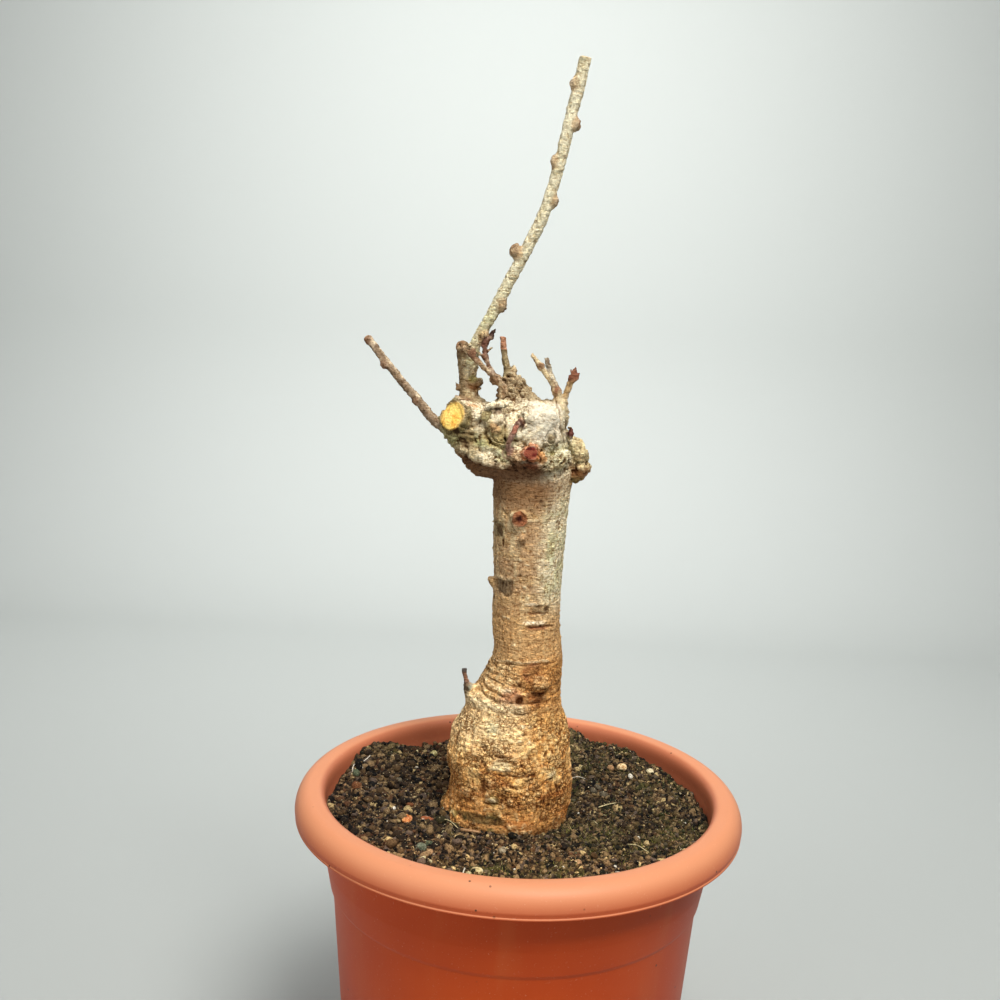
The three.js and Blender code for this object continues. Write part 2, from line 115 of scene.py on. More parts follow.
# Rolls of bark on the head's scarred face and round the foot: points, start and end radius, blend
BARK_ROLLS = [
    ([(-37, -16, 418), (-27, -23, 413.5), (-15, -26, 412.5)], 3.4, 3.4, 4.5),
    ([(-5, -26.5, 413.5), (6, -26.5, 413), (17, -18, 416)], 3.2, 3.2, 4.5),
    ([(-25.5, -23.5, 442.2), (-19.5, -25.8, 443.2), (-13.5, -25.8, 444.6)], 1.8, 1.4, 2.0),
    ([(-29.5, -19.5, 438), (-30, -20.5, 430), (-26.5, -23.5, 421.5), (-17, -25, 417.8)], 1.6, 1.6, 3.0),
    ([(-27.5, -5, 276), (-26, -10, 273.8), (-20, -18, 273.6), (-11, -23.4, 273.6),
      (0, -25, 273.4)], 4.0, 2.0, 3.0),
    ([(-20.6, -4, 285.6), (-19, -10, 284), (-14.5, -17, 282.6), (-7, -21.8, 281)], 2.6, 1.6, 2.0),
    ([(-17.6, -3, 293.6), (-16.6, -9.5, 292), (-12, -15.6, 290.4), (-5, -20, 289.6)], 2.2, 1.4, 2.0),
]
# Hollows on the face: centre, radius and blend
FACE_HOLLOWS = [
    (-21.5, -35.0, 429.5, 9.6, 2.2), (-28.2, -24.6, 435.1, 1.5, 0.5), (-24.6, -24.0, 439.9, 1.2, 0.5),
    (9.5, -30.5, 428, 3.6, 1.0), (-36, -22.5, 436, 1.6, 0.6),
]
# Knobs there: centre and radius, joined on after the hollows are cut
FACE_KNOBS = [
    (-26.3, -21.8, 437.3, 3.5), (-18.9, -24.6, 435.9, 4.1), (-21.6, -25.2, 431.6, 3.6),
    (-8.6, -27.6, 417.4, 4.4), (-12.2, -27.6, 416.4, 3.4), (3.4, -28.2, 416.8, 3.6),
    (9.6, -26.4, 427.8, 1.6), (-4, -25, 437, 5.6), (6, -23, 436, 6.0),
]
# Flat rings of bark: centre, axis, radius, thickness
FACE_RINGS = [
    ((9.5, -26.2, 427.9), (0.25, -1, 0.1), 3.9, 0.9),
    ((-44.5, -17.3, 435.4), (-0.66, -0.70, 0.28), 8.0, 1.1),
    ((-1.5, -31.2, 419.0), (0.05, -1, -0.15), 4.3, 1.0),
]
# Grooves cut in as round channels: curve points, start and end radius, blend
FACE_GROOVES = [
    ([(-14.9, -29.2, 442), (-14.8, -29.0, 435), (-14.6, -29.5, 428), (-14.8, -29.2, 421.5)], 2.2, 1.5, 2.0),
    ([(18.6, -13.5, 438), (19.2, -14.2, 428), (20.0, -14.4, 420), (21.0, -14.0, 408)], 1.9, 1.5, 0.8),
    ([(-23.4, -30, 429.6), (-19.5, -30.2, 427.9), (-16, -29.6, 428.2)], 1.5, 1.3, 1.2),
    ([(-2, -26, 287.4), (3, -25.6, 285), (8.6, -24.6, 280.6), (15.5, -19.5, 282)], 1.5, 1.2, 1.0),
    ([(-1, -24.4, 296), (5, -24.2, 294.4), (11, -22.5, 295.5)], 1.7, 1.2, 1.2),
    ([(-31, -30.5, 211), (-24, -35.4, 213.6), (-17, -37.6, 215.8), (-10, -38.4, 215)], 1.3, 1.0, 1.0),
]

# Burl that hangs on the head's right side: centre, radius
BURL = [
    (23.6, -3, 421.5, 4.4), (25.6, -3, 416.0, 4.9), (26.6, -3, 409.6, 5.0), (24.0, -1, 404.4, 3.8),
    (21.4, 0, 411, 5.0),
]
BURL_STRETCH = 1.4
BURL_BLEND = 1.3
KNOB_BLEND = 1.2
RING_BLEND = 0.8

# Limbs: points from the root outwards, start and end radius, blend at the root, cut end or not
LIMBS = {
    "sawn stub": ([(-30, -5, 427), (-39.2, -11.8, 433.2), (-44.4, -18.2, 435.8)], 11.5, 9.0, 4, True),
    "thick stub": ([(-34, 3, 432), (-38.3, 4, 450), (-40.8, 4, 463.5), (-42.3, 4, 474.5)],
                   5.6, 3.8, 3, True),
    "long shoot": ([(-38.4, 4, 458), (-35, 4, 475), (-24.1, 3, 497.4), (-12.2, 2, 521.3),
                    (-1.7, 0, 544.1), (5.4, -2, 567.5), (11.5, -4, 595.5), (15.6, -5.7, 614.5),
                    (18.2, -7, 628.6)], 3.2, 3.25, 1.5, True),
    "left twig": ([(-46, -3, 424), (-58.9, -4, 434.5), (-79.4, -2, 457), (-96, 2, 476)],
                  3.0, 2.0, 3, True),
    "crossing twig": ([(-16, -2, 444), (-21, -6, 454.5), (-30.8, -8, 463.7), (-41.6, -6, 473.6)],
                      1.8, 1.3, 3, True),
    "bud twig": ([(-22.5, -7, 456), (-28.9, -4, 467.5), (-29, -3, 475.3), (-26, -3, 480.5)],
                 1.5, 1.0, 1.5, False),
    "cone": ([(-9, 1, 438), (-12, 1, 449), (-15.2, 2, 458.5)], 13.5, 4.6, 4, False),
    "peg": ([(-14, 2, 452), (-17.2, 2, 461.5), (-19.7, 1, 480)], 2.3, 1.55, 1.5, True),
    "right twig": ([(14.5, -1, 438), (11.5, -3, 452), (5.5, -4, 460.6), (-2.7, -5, 470.6)],
                   2.4, 1.2, 4, False),
    "right fork": ([(10, -3, 455), (6.8, -2, 463.4), (4.8, -1, 469.8)], 1.5, 1.2, 1.5, True),
    "outer twig": ([(14.6, 0, 442), (18.4, 0, 454.9), (20.7, 0, 460.5)], 1.9, 1.3, 3, False),
    "face stub": ([(-3, -22, 421), (-1.4, -33.2, 419.0)], 5.2, 4.4, 1.2, True),
    "face twig": ([(-13.6, -27.5, 417.5), (-13.6, -29.8, 423), (-11.8, -30.2, 428), (-9.4, -28.8, 434)],
                  1.8, 1.4, 1.5, False),
    "peg foot": ([(-25, -4, 267), (-28.4, -6, 274), (-31.4, -6.8, 279.5)], 6.0, 2.0, 4, False),
    "foot peg": ([(-30.6, -6.6, 276), (-32.8, -7, 283), (-34.4, -6.6, 290)], 1.9, 0.95, 2, True),
    "trunk nub": ([(-9, -17, 377), (-6.6, -22.6, 382)], 4.4, 3.0, 2.0, False),
    "trunk flake": ([(-18, -4, 339), (-21.4, -5, 343)], 2.6, 1.9, 1.5, False),
}

# The thin limbs, which have smoother bark: two colours on screen and the second one's share
TWIG_TONES = {
    "thick stub": ((176, 156, 118), (216, 202, 166), 0.8),
    "long shoot": ((220, 212, 182), (184, 174, 138), 0.6),
    "left twig": ((142, 120, 96), (200, 180, 152), 0.7),
    "crossing twig": ((148, 122, 92), (220, 200, 164), 0.8),
    "bud twig": ((116, 84, 66), (190, 162, 136), 0.7), "peg": ((156, 140, 104), (188, 174, 134), 0.6),
    "right twig": ((214, 194, 154), (146, 112, 78), 0.8),
    "right fork": ((142, 132, 114), (186, 176, 154), 0.6),
    "outer twig": ((176, 148, 104), (124, 92, 60), 0.7), "face twig": ((122, 90, 78), (164, 134, 114), 0.6),
    "foot peg": ((128, 130, 112), (154, 140, 112), 0.6),
}

# Pointed scales on buds and torn bark: from and to
SCALES = [
    ((20.4, 0, 459.0), (18.8, -1, 463.4)), ((20.8, 0, 459.6), (21.4, -1, 465.2)),
    ((20.8, 0, 459.0), (23.8, 0, 462.0)), ((20.2, 0, 458.0), (18.0, 0, 460.6)),
    ((20.8, -1, 457.6), (23.4, -2, 459.0)), ((-29, -4, 475.6), (-32.6, -5, 480.0)),
    ((-28, -4, 477.0), (-30.4, -5, 482.6)), ((-26.6, -4, 478.6), (-23.6, -4.5, 484.6)),
    ((-29.6, -4, 473.4), (-33.4, -4, 475.4)), ((-28.4, -4, 471.4), (-25.0, -5, 473.6)),
    ((-29.2, -5, 468.2), (-32.8, -6, 470.2)), ((-23.0, -5, 456.4), (-26.8, -6, 459.6)),
    ((-36.4, -6, 470.6), (-38.0, -8, 475.0)), ((11.4, -3, 451.8), (8.4, -5, 455.0)),
    ((5.0, -4.4, 461.2), (2.2, -6, 464.4)), ((-43.0, 3, 450.0), (-46.6, 3, 453.6)),
    ((-34.6, 2, 446.6), (-31.8, 1, 450.4)), ((-31.0, 3.6, 478.6), (-34.6, 3.2, 483.0)),
    ((20.4, -9.8, 428.0), (18.8, -12.0, 433.6)), ((-67.5, -3, 442.6), (-69.6, -3.6, 446.4)),
    ((-86.0, -1, 462), (-85.0, -1.6, 466.0)),
]
SCALE_THICK = 1.0
SCALE_TIP = 0.35
SCALE_BLEND = 0.6

# Buds and knots: centre x, y, z, radius, stretch upwards
BUDS = [
    (13.6, -6.4, 614.2, 2.7, 1.5), (14.8, -4.5, 594.3, 2.7, 1.5), (4.6, -2.8, 574.6, 2.7, 1.5),
    (4.8, -1, 554.5, 2.7, 1.5), (-13.4, 1.2, 526, 2.9, 1.5), (-21.6, 2.6, 498, 2.9, 1.5),
    (-31, 3.6, 480, 3.2, 1.4), (-36.2, 2.6, 453, 4.3, 0.8), (-43.6, 3, 450.5, 1.7, 1.2),
    (-34.6, 2, 447, 1.3, 1.3), (-39.5, 3, 441.5, 6.2, 0.7), (-42.4, 0, 473.6, 3.7, 0.9),
    (-36.4, -6.5, 470, 2.3, 0.9), (-33, -7.5, 466, 1.8, 0.9), (-29.4, -4, 468.4, 1.8, 1),
    (-29.6, -3, 476.2, 1.9, 1.4), (-25.8, -3, 480.6, 1.2, 2.2), (-23.5, -5, 456.5, 3.2, 1),
    (-85.6, -1, 461.8, 2.4, 1.2), (-95.6, 2, 475.2, 2.5, 1), (-67.5, -3, 442.6, 2.6, 1),
    (11.6, -3, 451.8, 2.9, 0.9), (2, -4.5, 464.8, 1.9, 1.1), (19.8, 0, 458.4, 2, 1.2),
    (20.8, 0, 461.4, 1.6, 1.6), (22.3, 0, 459.8, 1.2, 1), (20.2, -9.6, 428.8, 2.4, 1.6),
    (-4.2, -23.6, 371.4, 2.2, 0.9), (9.4, -20.4, 288.4, 6.4, 0.85),
]
BUD_BLEND = 1.2

# Soil
MIX_LEVEL = 205.0
MOUNDS = [
    (-95, 55, 13, 26), (60, 72, 6.5, 36), (34, 102, 8, 12), (-50, -52, 2.5, 26), (62, -40, -3, 40),
    (0, -88, -2, 36),
]
MIX_GRID = 230
GAP = 0.35

# Colours of the bits on the soil, as on screen
BIT_TONES = {
    "white": (228, 222, 204), "cream": (214, 200, 152), "tan": (180, 140, 100), "grey": (96, 88, 72),
    "grey green": (84, 92, 70), "rust": (112, 70, 42), "black": (20, 20, 20),
}
# Bits that stand out on the soil: x, y, size and tone
SPECKS = [
    (-67.2, 70.6, 1.3, "cream"), (-65.2, 45.9, 1.0, "white"), (-72.0, -12.4, 1.2, "white"),
    (-75.2, 29.0, 2.8, "grey"), (-98.0, 13.0, 3.4, "rust"), (-100.2, 23.2, 2.8, "grey green"),
    (-59.0, -31.5, 2.6, "black"), (-63.2, -7.2, 2.2, "rust"), (-47.8, -56.0, 2.6, "grey green"),
    (-45.6, -68.4, 2.3, "tan"), (-48.6, -75.6, 1.8, "cream"), (-44.0, -79.0, 1.3, "cream"),
    (-32.5, -55.6, 0.9, "white"), (-32.9, -84.0, 1.0, "white"), (-78.0, -72.0, 0.8, "white"),
    (-50.6, -86.6, 0.9, "cream"), (-24.0, -85.0, 2.2, "cream"), (70.1, 43.8, 1.7, "white"),
    (57.8, 52.8, 2.8, "tan"), (68.8, -30.0, 0.9, "white"), (38.9, -1.1, 0.8, "white"),
    (36.0, -3.0, 0.8, "white"), (53.7, -60.8, 1.0, "white"), (54.7, -65.8, 0.8, "white"),
    (25.9, -69.2, 0.9, "white"), (33.3, -66.0, 2.5, "tan"), (34.1, 17.5, 2.2, "grey"),
    (46.0, 25.0, 2.8, "grey"), (52.0, 20.4, 2.8, "grey"), (49.0, 31.0, 2.6, "grey"),
]
MORE_SPECKS = 110
EDGE_CLEAR = 1.5
# Dry stalks: points as x, y and height over the soil, then radius and tone
STALKS = [
    ([(-102.6, 25, 1.0), (-103.2, 33, 1.6), (-97.5, 35, 2.0), (-93.9, 38.8, 3.2)], 0.4, "white"),
    ([(-103, 20, 0.6), (-102.8, 25, 1.4), (-101.4, 29, 1.6)], 0.3, "cream"),
    ([(48.2, 3.5, 1.5), (54, 7, 2.0), (58.8, 10.5, 1.2)], 0.36, "cream"),
    ([(32.8, 37, 2.0), (37, 37.4, 2.8), (41.4, 37.6, 1.6)], 0.24, "white"),
    ([(53.5, -69.5, 0.5), (55, -74, 2.0), (56.5, -78.5, 1.4)], 0.5, "white"),
    ([(-26.2, -79, 1.0), (-26, -84, 3.0), (-26.6, -88.5, 2.4)], 0.45, "white"),
    ([(-44, -27, 1.5), (-38, -31, 2.4), (-33, -36, 1.6)], 0.3, "cream"),
    ([(-31, -37, 1.2), (-26, -39.4, 1.8), (-20, -41.2, 1.2)], 1.0, "tan"),
    ([(62, -40, 1.5), (67, -42, 2.2), (73, -47, 1.5)], 0.3, "cream"),
]
MORE_STALKS = 60
STALKS_CLEAR = 9.0
# Moss: places tried, blades kept at most, and the green patches as x, y and reach
MOSS_TRIED = 30000
MOSS_MOST = 8000
MOSS_CLEAR = 2.0
GREEN_PATCHES = [
    (-40, -28, 15), (44, 108, 16), (-92, 66, 20), (-12, -86, 22), (78, 40, 26),
    (64, -56, 17), (90, -14, 14),
]
# Packed crumbs of the soil: size, lift and seed
CRUMBS = [(6.0, 1.5, 201), (3.8, 0.8, 211), (2.4, 0.2, 221)]

# Loose pieces that have CAD solids: slot, two colours on screen, and for chips their own
# length, width, thickness and turn
LOOSE = {
    "bark_chip_tan": ("tan_bark", (228, 168, 106), (182, 98, 44), (9.5, 5, 2.6, 78)),
    "bark_chip_red": ("red_bark", (150, 82, 46), (84, 46, 30), (8, 4.8, 2.4, 162)),
    "grit_stone_1": ("pale_grit", (222, 204, 150), (168, 146, 100), None),
    "grit_stone_2": ("pale_grit", (150, 136, 110), (110, 96, 74), None),
    "grit_stone_3": ("pale_grit", (232, 208, 160), (190, 152, 104), None),
    "grit_stone_4": ("pale_grit", (206, 196, 138), (150, 138, 88), None),
    "grit_stone_5": ("pale_grit", (224, 212, 176), (176, 160, 120), None),
    "grit_stone_6": ("pale_grit", (116, 122, 100), (84, 90, 72), None),
}
CHIP_TILT = 6.0

# Round spots of colour on the head and the twigs: centre, reach, colour on screen and strength
HEAD_SPOTS = [
    ((-18.9, -28, 436), 4.6, (236, 222, 190), 0.8), ((-21.6, -28, 431.4), 3.6, (182, 142, 98), 0.7),
    ((-26.3, -25, 437.5), 3.8, (154, 138, 82), 0.8), ((-20, -26, 440.8), 3.4, (120, 84, 54), 0.7),
    ((-9, -29, 434.5), 4.4, (190, 130, 104), 0.75), ((-6.4, -29, 432), 2.2, (120, 70, 50), 0.7),
    ((-8.6, -31, 417), 4.6, (206, 172, 132), 0.8), ((-13, -30, 418.6), 2.8, (140, 86, 60), 0.7),
    ((4.6, -30, 417), 4.8, (216, 158, 98), 0.85), ((9.5, -28, 427.6), 3.6, (130, 106, 58), 0.75),
    ((-36, -21, 435), 2.6, (118, 106, 76), 0.6), ((-36, -21, 424), 6.0, (118, 92, 56), 0.7),
    ((-33, -14, 443), 5.0, (200, 140, 78), 0.7), ((-1, -30, 411), 5.0, (128, 70, 44), 0.6),
]
TWIG_SPOTS = [
    ((-24.4, -4, 483), 4.6, (56, 34, 30), 0.9), ((-29.4, -3, 477), 4.6, (104, 66, 54), 0.75),
    ((-28.6, -3, 470), 3.4, (112, 78, 64), 0.6), ((21.0, 0, 462), 6.4, (122, 68, 52), 0.8),
    ((24.0, 0, 463), 3.0, (106, 48, 40), 0.8), ((11.6, -3, 451.6), 3.4, (132, 78, 52), 0.85),
    ((-35.6, -6.5, 469.6), 4.4, (112, 74, 54), 0.75), ((-36, 2.6, 452.6), 4.6, (146, 98, 56), 0.8),
    ((-36, 1, 455.6), 3.4, (158, 150, 88), 0.7), ((-40, 1, 468.6), 2.4, (84, 62, 40), 0.8),
    ((20.8, -10.6, 429.6), 4.6, (96, 34, 28), 0.95), ((-9.8, -31.5, 431.4), 3.6, (170, 110, 88), 0.8),
]
TWIG_BUDS_ABOVE = 440

# Floor that curves up behind, in metres
FLOOR_HALF = 3.0
FLOOR_DEPTH = 1.1
FLOOR_BEND = 0.5
FLOOR_RISE = 2.6
FLOOR_STEPS = 16
# Lights: name, place, aim, size, power, colour and spread in degrees, in metres and watts
AIM = (0, 0, 0.3)
LIGHTS = [
    ("key", (0.45, -0.95, 1.8), AIM, 0.8, 44, (1.0, 0.98, 0.95), 180),
    ("fill", (-1.2, -1.3, 0.7), AIM, 1.2, 9, (1.0, 0.98, 0.96), 180),
    ("top", (0.0, 0.0, 1.9), AIM, 1.0, 9, (1.0, 1.0, 1.0), 180),
    ("back", (0.0, 0.0, 1.75), (-0.15, 1.6, 0.55), 1.2, 15.5, (1.0, 1.0, 1.0), 90),
]

# Voxel sizes of the plant's two meshes, and the height where one takes over from the other
HEAD_VOXEL = 0.585
TRUNK_VOXEL = 0.725
TRUNK_BOTTOM = 198.0
NECK_LOW = 391.0
NECK_HIGH = 394.0
COARSE = 8


# Numbers that look random and repeat exactly

def lattice(ix, iy, iz, seed):
    """A repeatable number from 0 to 1 at each lattice point."""
    h = (ix * 374761393 + iy * 668265263 + iz * 1440662683 + seed * 1274126177) & 0xFFFFFFFF
    h = ((h ^ (h >> 13)) * 1274126177) & 0xFFFFFFFF
    h = ((h ^ (h >> 16)) * 2246822519) & 0xFFFFFFFF
    return ((h ^ (h >> 15)) & 0xFFFFFF) / 0xFFFFFF


def noise(p, size, seed=0):
    """Smooth noise from -1 to 1 at points p; size is one number or one for each axis."""
    q = p / np.asarray(size, dtype=float)
    cell = np.floor(q).astype(np.int64)
    f = q - cell
    f = f * f * f * (f * (f * 6 - 15) + 10)
    total = np.zeros(len(p))
    for i in (0, 1):
        for j in (0, 1):
            for k in (0, 1):
                share = (f[:, 0] if i else 1 - f[:, 0]) * (f[:, 1] if j else 1 - f[:, 1])
                share = share * (f[:, 2] if k else 1 - f[:, 2])
                total += share * lattice(cell[:, 0] + i, cell[:, 1] + j, cell[:, 2] + k, seed)
    return total * 2 - 1


def fractal(p, size, seed=0, octaves=3, gain=1.0, shape=np.positive):
    """Several octaves of noise added up, from about -1 to 1 where the gain is 1."""
    total = np.zeros(len(p))
    weight, norm = 1.0, 0.0
    for octave in range(octaves):
        total += weight * shape(noise(p, np.asarray(size, dtype=float) / 2 ** octave, seed + octave))
        norm += weight
        weight *= 0.5
    return gain * total / norm


def drift(p, size, seed):
    """A smooth random push at each point, from -1 to 1 along each axis."""
    return np.stack([noise(p, size, seed + k) for k in range(3)], 1)


def veins(p, size, seed, width, octaves=2):
    """A branching network of thin lines: 1 on a line, 0 away from it."""
    return np.exp(-np.square(fractal(p, size, seed, octaves) / width))


def billow(p, size, seed, octaves=3):
    """Rounded lumps with creases between them: 0 in a crease and about 1 on a crest."""
    return np.minimum(fractal(p, size, seed, octaves, 2.2, np.abs), 1.2)


def cells(p, size, seed=0):
    """Distances to the nearest and second nearest scattered point, and the nearest one's number."""
    q = p / np.asarray(size, dtype=float)
    base = np.floor(q).astype(np.int64)
    near = np.full(len(p), 9.0)
    second = np.full(len(p), 9.0)
    number = np.zeros(len(p))
    for i in (-1, 0, 1):
        for j in (-1, 0, 1):
            for k in (-1, 0, 1):
                c = base + (i, j, k)
                jitter = np.stack([lattice(c[:, 0], c[:, 1], c[:, 2], seed + s) for s in (1, 2, 3)], 1)
                d = np.linalg.norm(c + 0.15 + 0.7 * jitter - q, axis=1)
                closer = d < near
                second = np.where(closer, near, np.minimum(second, d))
                number = np.where(closer, lattice(c[:, 0], c[:, 1], c[:, 2], seed), number)
                near = np.where(closer, d, near)
    return near, second, number


def ramp(low, high, x):
    """0 below low, 1 above high and an S curve between; low may be the larger."""
    t = np.clip((x - low) / (high - low), 0, 1)
    return t * t * (3 - 2 * t)


def window(low, high, soft, x):
    """1 between low and high, fading to 0 over soft on both sides."""
    return ramp(low - soft, low + soft, x) * ramp(high + soft, high - soft, x)


# The plant as a distance field

def smooth_union(a, b, blend):
    """The nearer of two shapes, rounded where they meet."""
    h = np.clip(0.5 + 0.5 * (b - a) / blend, 0, 1)
    return b + (a - b) * h - blend * h * (1 - h)


def smooth_cut(a, b, blend):
    """The first shape without the second, rounded where they meet."""
    return -smooth_union(-a, b, blend)


def ball(p, centre, radius):
    """Distance to a ball."""
    return np.linalg.norm(p - centre, axis=1) - radius


def ellipsoid(p, centre, half, lean=0.0):
    """Distance to an egg-shaped lump that leans about the depth axis."""
    q = p - centre
    c, s = math.cos(math.radians(lean)), math.sin(math.radians(lean))
    q = np.stack([q[:, 0] * c - q[:, 2] * s, q[:, 1], q[:, 0] * s + q[:, 2] * c], 1)
    scaled = np.linalg.norm(q / half, axis=1)
    slope = np.linalg.norm(q / np.square(half), axis=1)
    return scaled * (scaled - 1) / np.maximum(slope, 1e-6)


def ring(p, centre, axis, radius, thick):
    """Distance to a round ring of bark."""
    axis = np.asarray(axis, dtype=float) / np.linalg.norm(axis)
    along = (p - centre) @ axis
    flat = p - centre - along[:, None] * axis
    return np.hypot(np.linalg.norm(flat, axis=1) - radius, along) - thick


def curve_points(points, each=4):
    """A smooth Catmull-Rom curve, with so many points for each one given."""
    points = np.asarray(points, dtype=float)
    padded = np.vstack([2 * points[0] - points[1], points, 2 * points[-1] - points[-2]])
    along = np.linspace(0, len(points) - 1, each * len(points))
    i = np.minimum(along.astype(int), len(points) - 2)
    t = (along - i)[:, None]
    a, b, c, d = padded[i], padded[i + 1], padded[i + 2], padded[i + 3]
    return 0.5 * (2 * b + (c - a) * t + (2 * a - 5 * b + 4 * c - d) * t ** 2
                  + (3 * b - a - 3 * c + d) * t ** 3)


def chain(p, line, radii):
    """Distance to a chain of rods between the points of a line."""
    best = np.full(len(p), 1e3)
    for a, b, ra, rb in zip(line[:-1], line[1:], radii[:-1], radii[1:]):
        span = b - a
        t = np.clip((p - a) @ span / (span @ span), 0, 1)
        best = np.minimum(best, np.linalg.norm(p - a - t[:, None] * span, axis=1) - ra - t * (rb - ra))
    return best


def limb(p, points, start, end, cut=False):
    """Distance to a round limb along a curve; a cut end is flat, any other is round."""
    line = curve_points(points)
    best = chain(p, line, np.linspace(start, end, len(line)))
    if cut:
        centre, ahead = cut_end(points)
        best = np.maximum(best, (p - centre) @ ahead)
    return best


def cut_end(points):
    """Where a limb's curve ends and in which direction."""
    line = curve_points(points)
    ahead = line[-1] - line[-2]
    return line[-1], ahead / np.linalg.norm(ahead)


def trunk_table():
    """The trunk's outline read at every millimetre of height along a smooth curve."""
    heights = np.arange(TRUNK[0, 0], TRUNK[-1, 0] + 1)
    slopes = np.gradient(TRUNK[:, 1:], TRUNK[:, 0], axis=0)
    i = np.clip(np.searchsorted(TRUNK[:, 0], heights, side="right") - 1, 0, len(TRUNK) - 2)
    span = (TRUNK[i + 1, 0] - TRUNK[i, 0])[:, None]
    t = (heights - TRUNK[i, 0])[:, None] / span
    edges = ((2 * t ** 3 - 3 * t ** 2 + 1) * TRUNK[i, 1:] + (t ** 3 - 2 * t ** 2 + t) * span * slopes[i]
             + (3 * t ** 2 - 2 * t ** 3) * TRUNK[i + 1, 1:] + (t ** 3 - t ** 2) * span * slopes[i + 1])
    return heights, edges


TRUNK_HEIGHTS, TRUNK_EDGES = trunk_table()


def trunk(p):
    """Distance to the trunk with its fluted foot."""
    left, right, front, back = [np.interp(p[:, 2], TRUNK_HEIGHTS, TRUNK_EDGES[:, k]) for k in range(4)]
    x = p[:, 0] - (left + right) / 2
    y = p[:, 1] - (front + back) / 2
    angle = np.arctan2(y, x)
    fade = np.clip((FLUTE_TOP - p[:, 2]) / FLUTE_FADE, FLUTE_LEAST, 1)
    flute = FLUTE_DEPTH * fade * np.cos(FLUTES * angle + p[:, 2] / FLUTE_TWIST) * np.sin(angle) ** 2
    half_x = (right - left) / 2 + flute
    half_y = (back - front) / 2 + flute
    scaled = np.hypot(x / half_x, y / half_y)
    slope = np.hypot(x / half_x ** 2, y / half_y ** 2)
    d = scaled * (scaled - 1) / np.maximum(slope, 1e-6)
    return np.maximum(d, p[:, 2] - TRUNK_TOP)


def near_points(p, points, reach, margin=9.0):
    """Which of p lie near some of the given points."""
    low = np.min(points, 0) - reach - margin
    high = np.max(points, 0) + reach + margin
    return np.flatnonzero(np.all((p > low) & (p < high), 1))


class Field:
    """Distances at many points, to which shapes are added near where they are."""

    def __init__(self, p):
        self.p = p
        self.d = np.full(len(p), 1e3)

    def add(self, shape, points, reach, blend, *numbers, margin=9.0, change=smooth_union):
        """Join a shape made from its numbers to what is there, or change it in another way."""
        at = near_points(self.p, points, reach, margin)
        self.d[at] = change(self.d[at], shape(self.p[at], *numbers), blend)


def plant_field(p):
    """Distance to the whole plant above the soil, with its larger knobs and hollows."""
    rough = ramp(300, 410, p[:, 2])[:, None] * ramp(470, 445, p[:, 2])[:, None]
    field = Field(p + drift(p, 17, 11) * (0.35 + 0.7 * rough))
    field.add(trunk, [(-60, -60, 150), (60, 60, TRUNK_TOP)], 0, TRUNK_BLEND)
    for *centre, half_x, half_y, half_z, lean in HEAD_LUMPS:
        widest = max(half_x, half_z)
        half = (half_x, half_y, half_z)
        field.add(ellipsoid, [centre], (widest, half_y, widest), LUMP_BLEND, centre, half, lean)
    shape_face(field)
    for points, start, end, blend, cut in LIMBS.values():
        field.add(limb, points, start, blend, points, start, end, cut)
    for *centre, radius, stretch in BUDS:
        half = (radius, radius, radius * stretch)
        field.add(ellipsoid, [centre], half, BUD_BLEND, centre, half)
    for centre, axis, radius, thick in FACE_RINGS:
        field.add(ring, [centre], radius, RING_BLEND, centre, axis, radius, thick)
    for points in SCALES:
        field.add(limb, points, 0, SCALE_BLEND, points, SCALE_THICK, SCALE_TIP, margin=4.0)
    return field.d


def shape_face(field):
    """Rolls of bark, hollows, channels, knobs and the burl."""
    for points, start, end, blend in BARK_ROLLS:
        field.add(limb, points, start, blend, points, start, end)
    for *centre, radius, blend in FACE_HOLLOWS:
        field.add(ball, [centre], radius, blend, centre, radius, change=smooth_cut)
    for points, start, end, blend in FACE_GROOVES:
        field.add(limb, points, start, blend, points, start, end, change=smooth_cut)
    for *centre, radius in FACE_KNOBS:
        field.add(ball, [centre], radius, KNOB_BLEND, centre, radius)
    for *centre, radius in BURL:
        field.add(ellipsoid, [centre], radius, BURL_BLEND, centre, (radius, radius * BURL_STRETCH, radius))


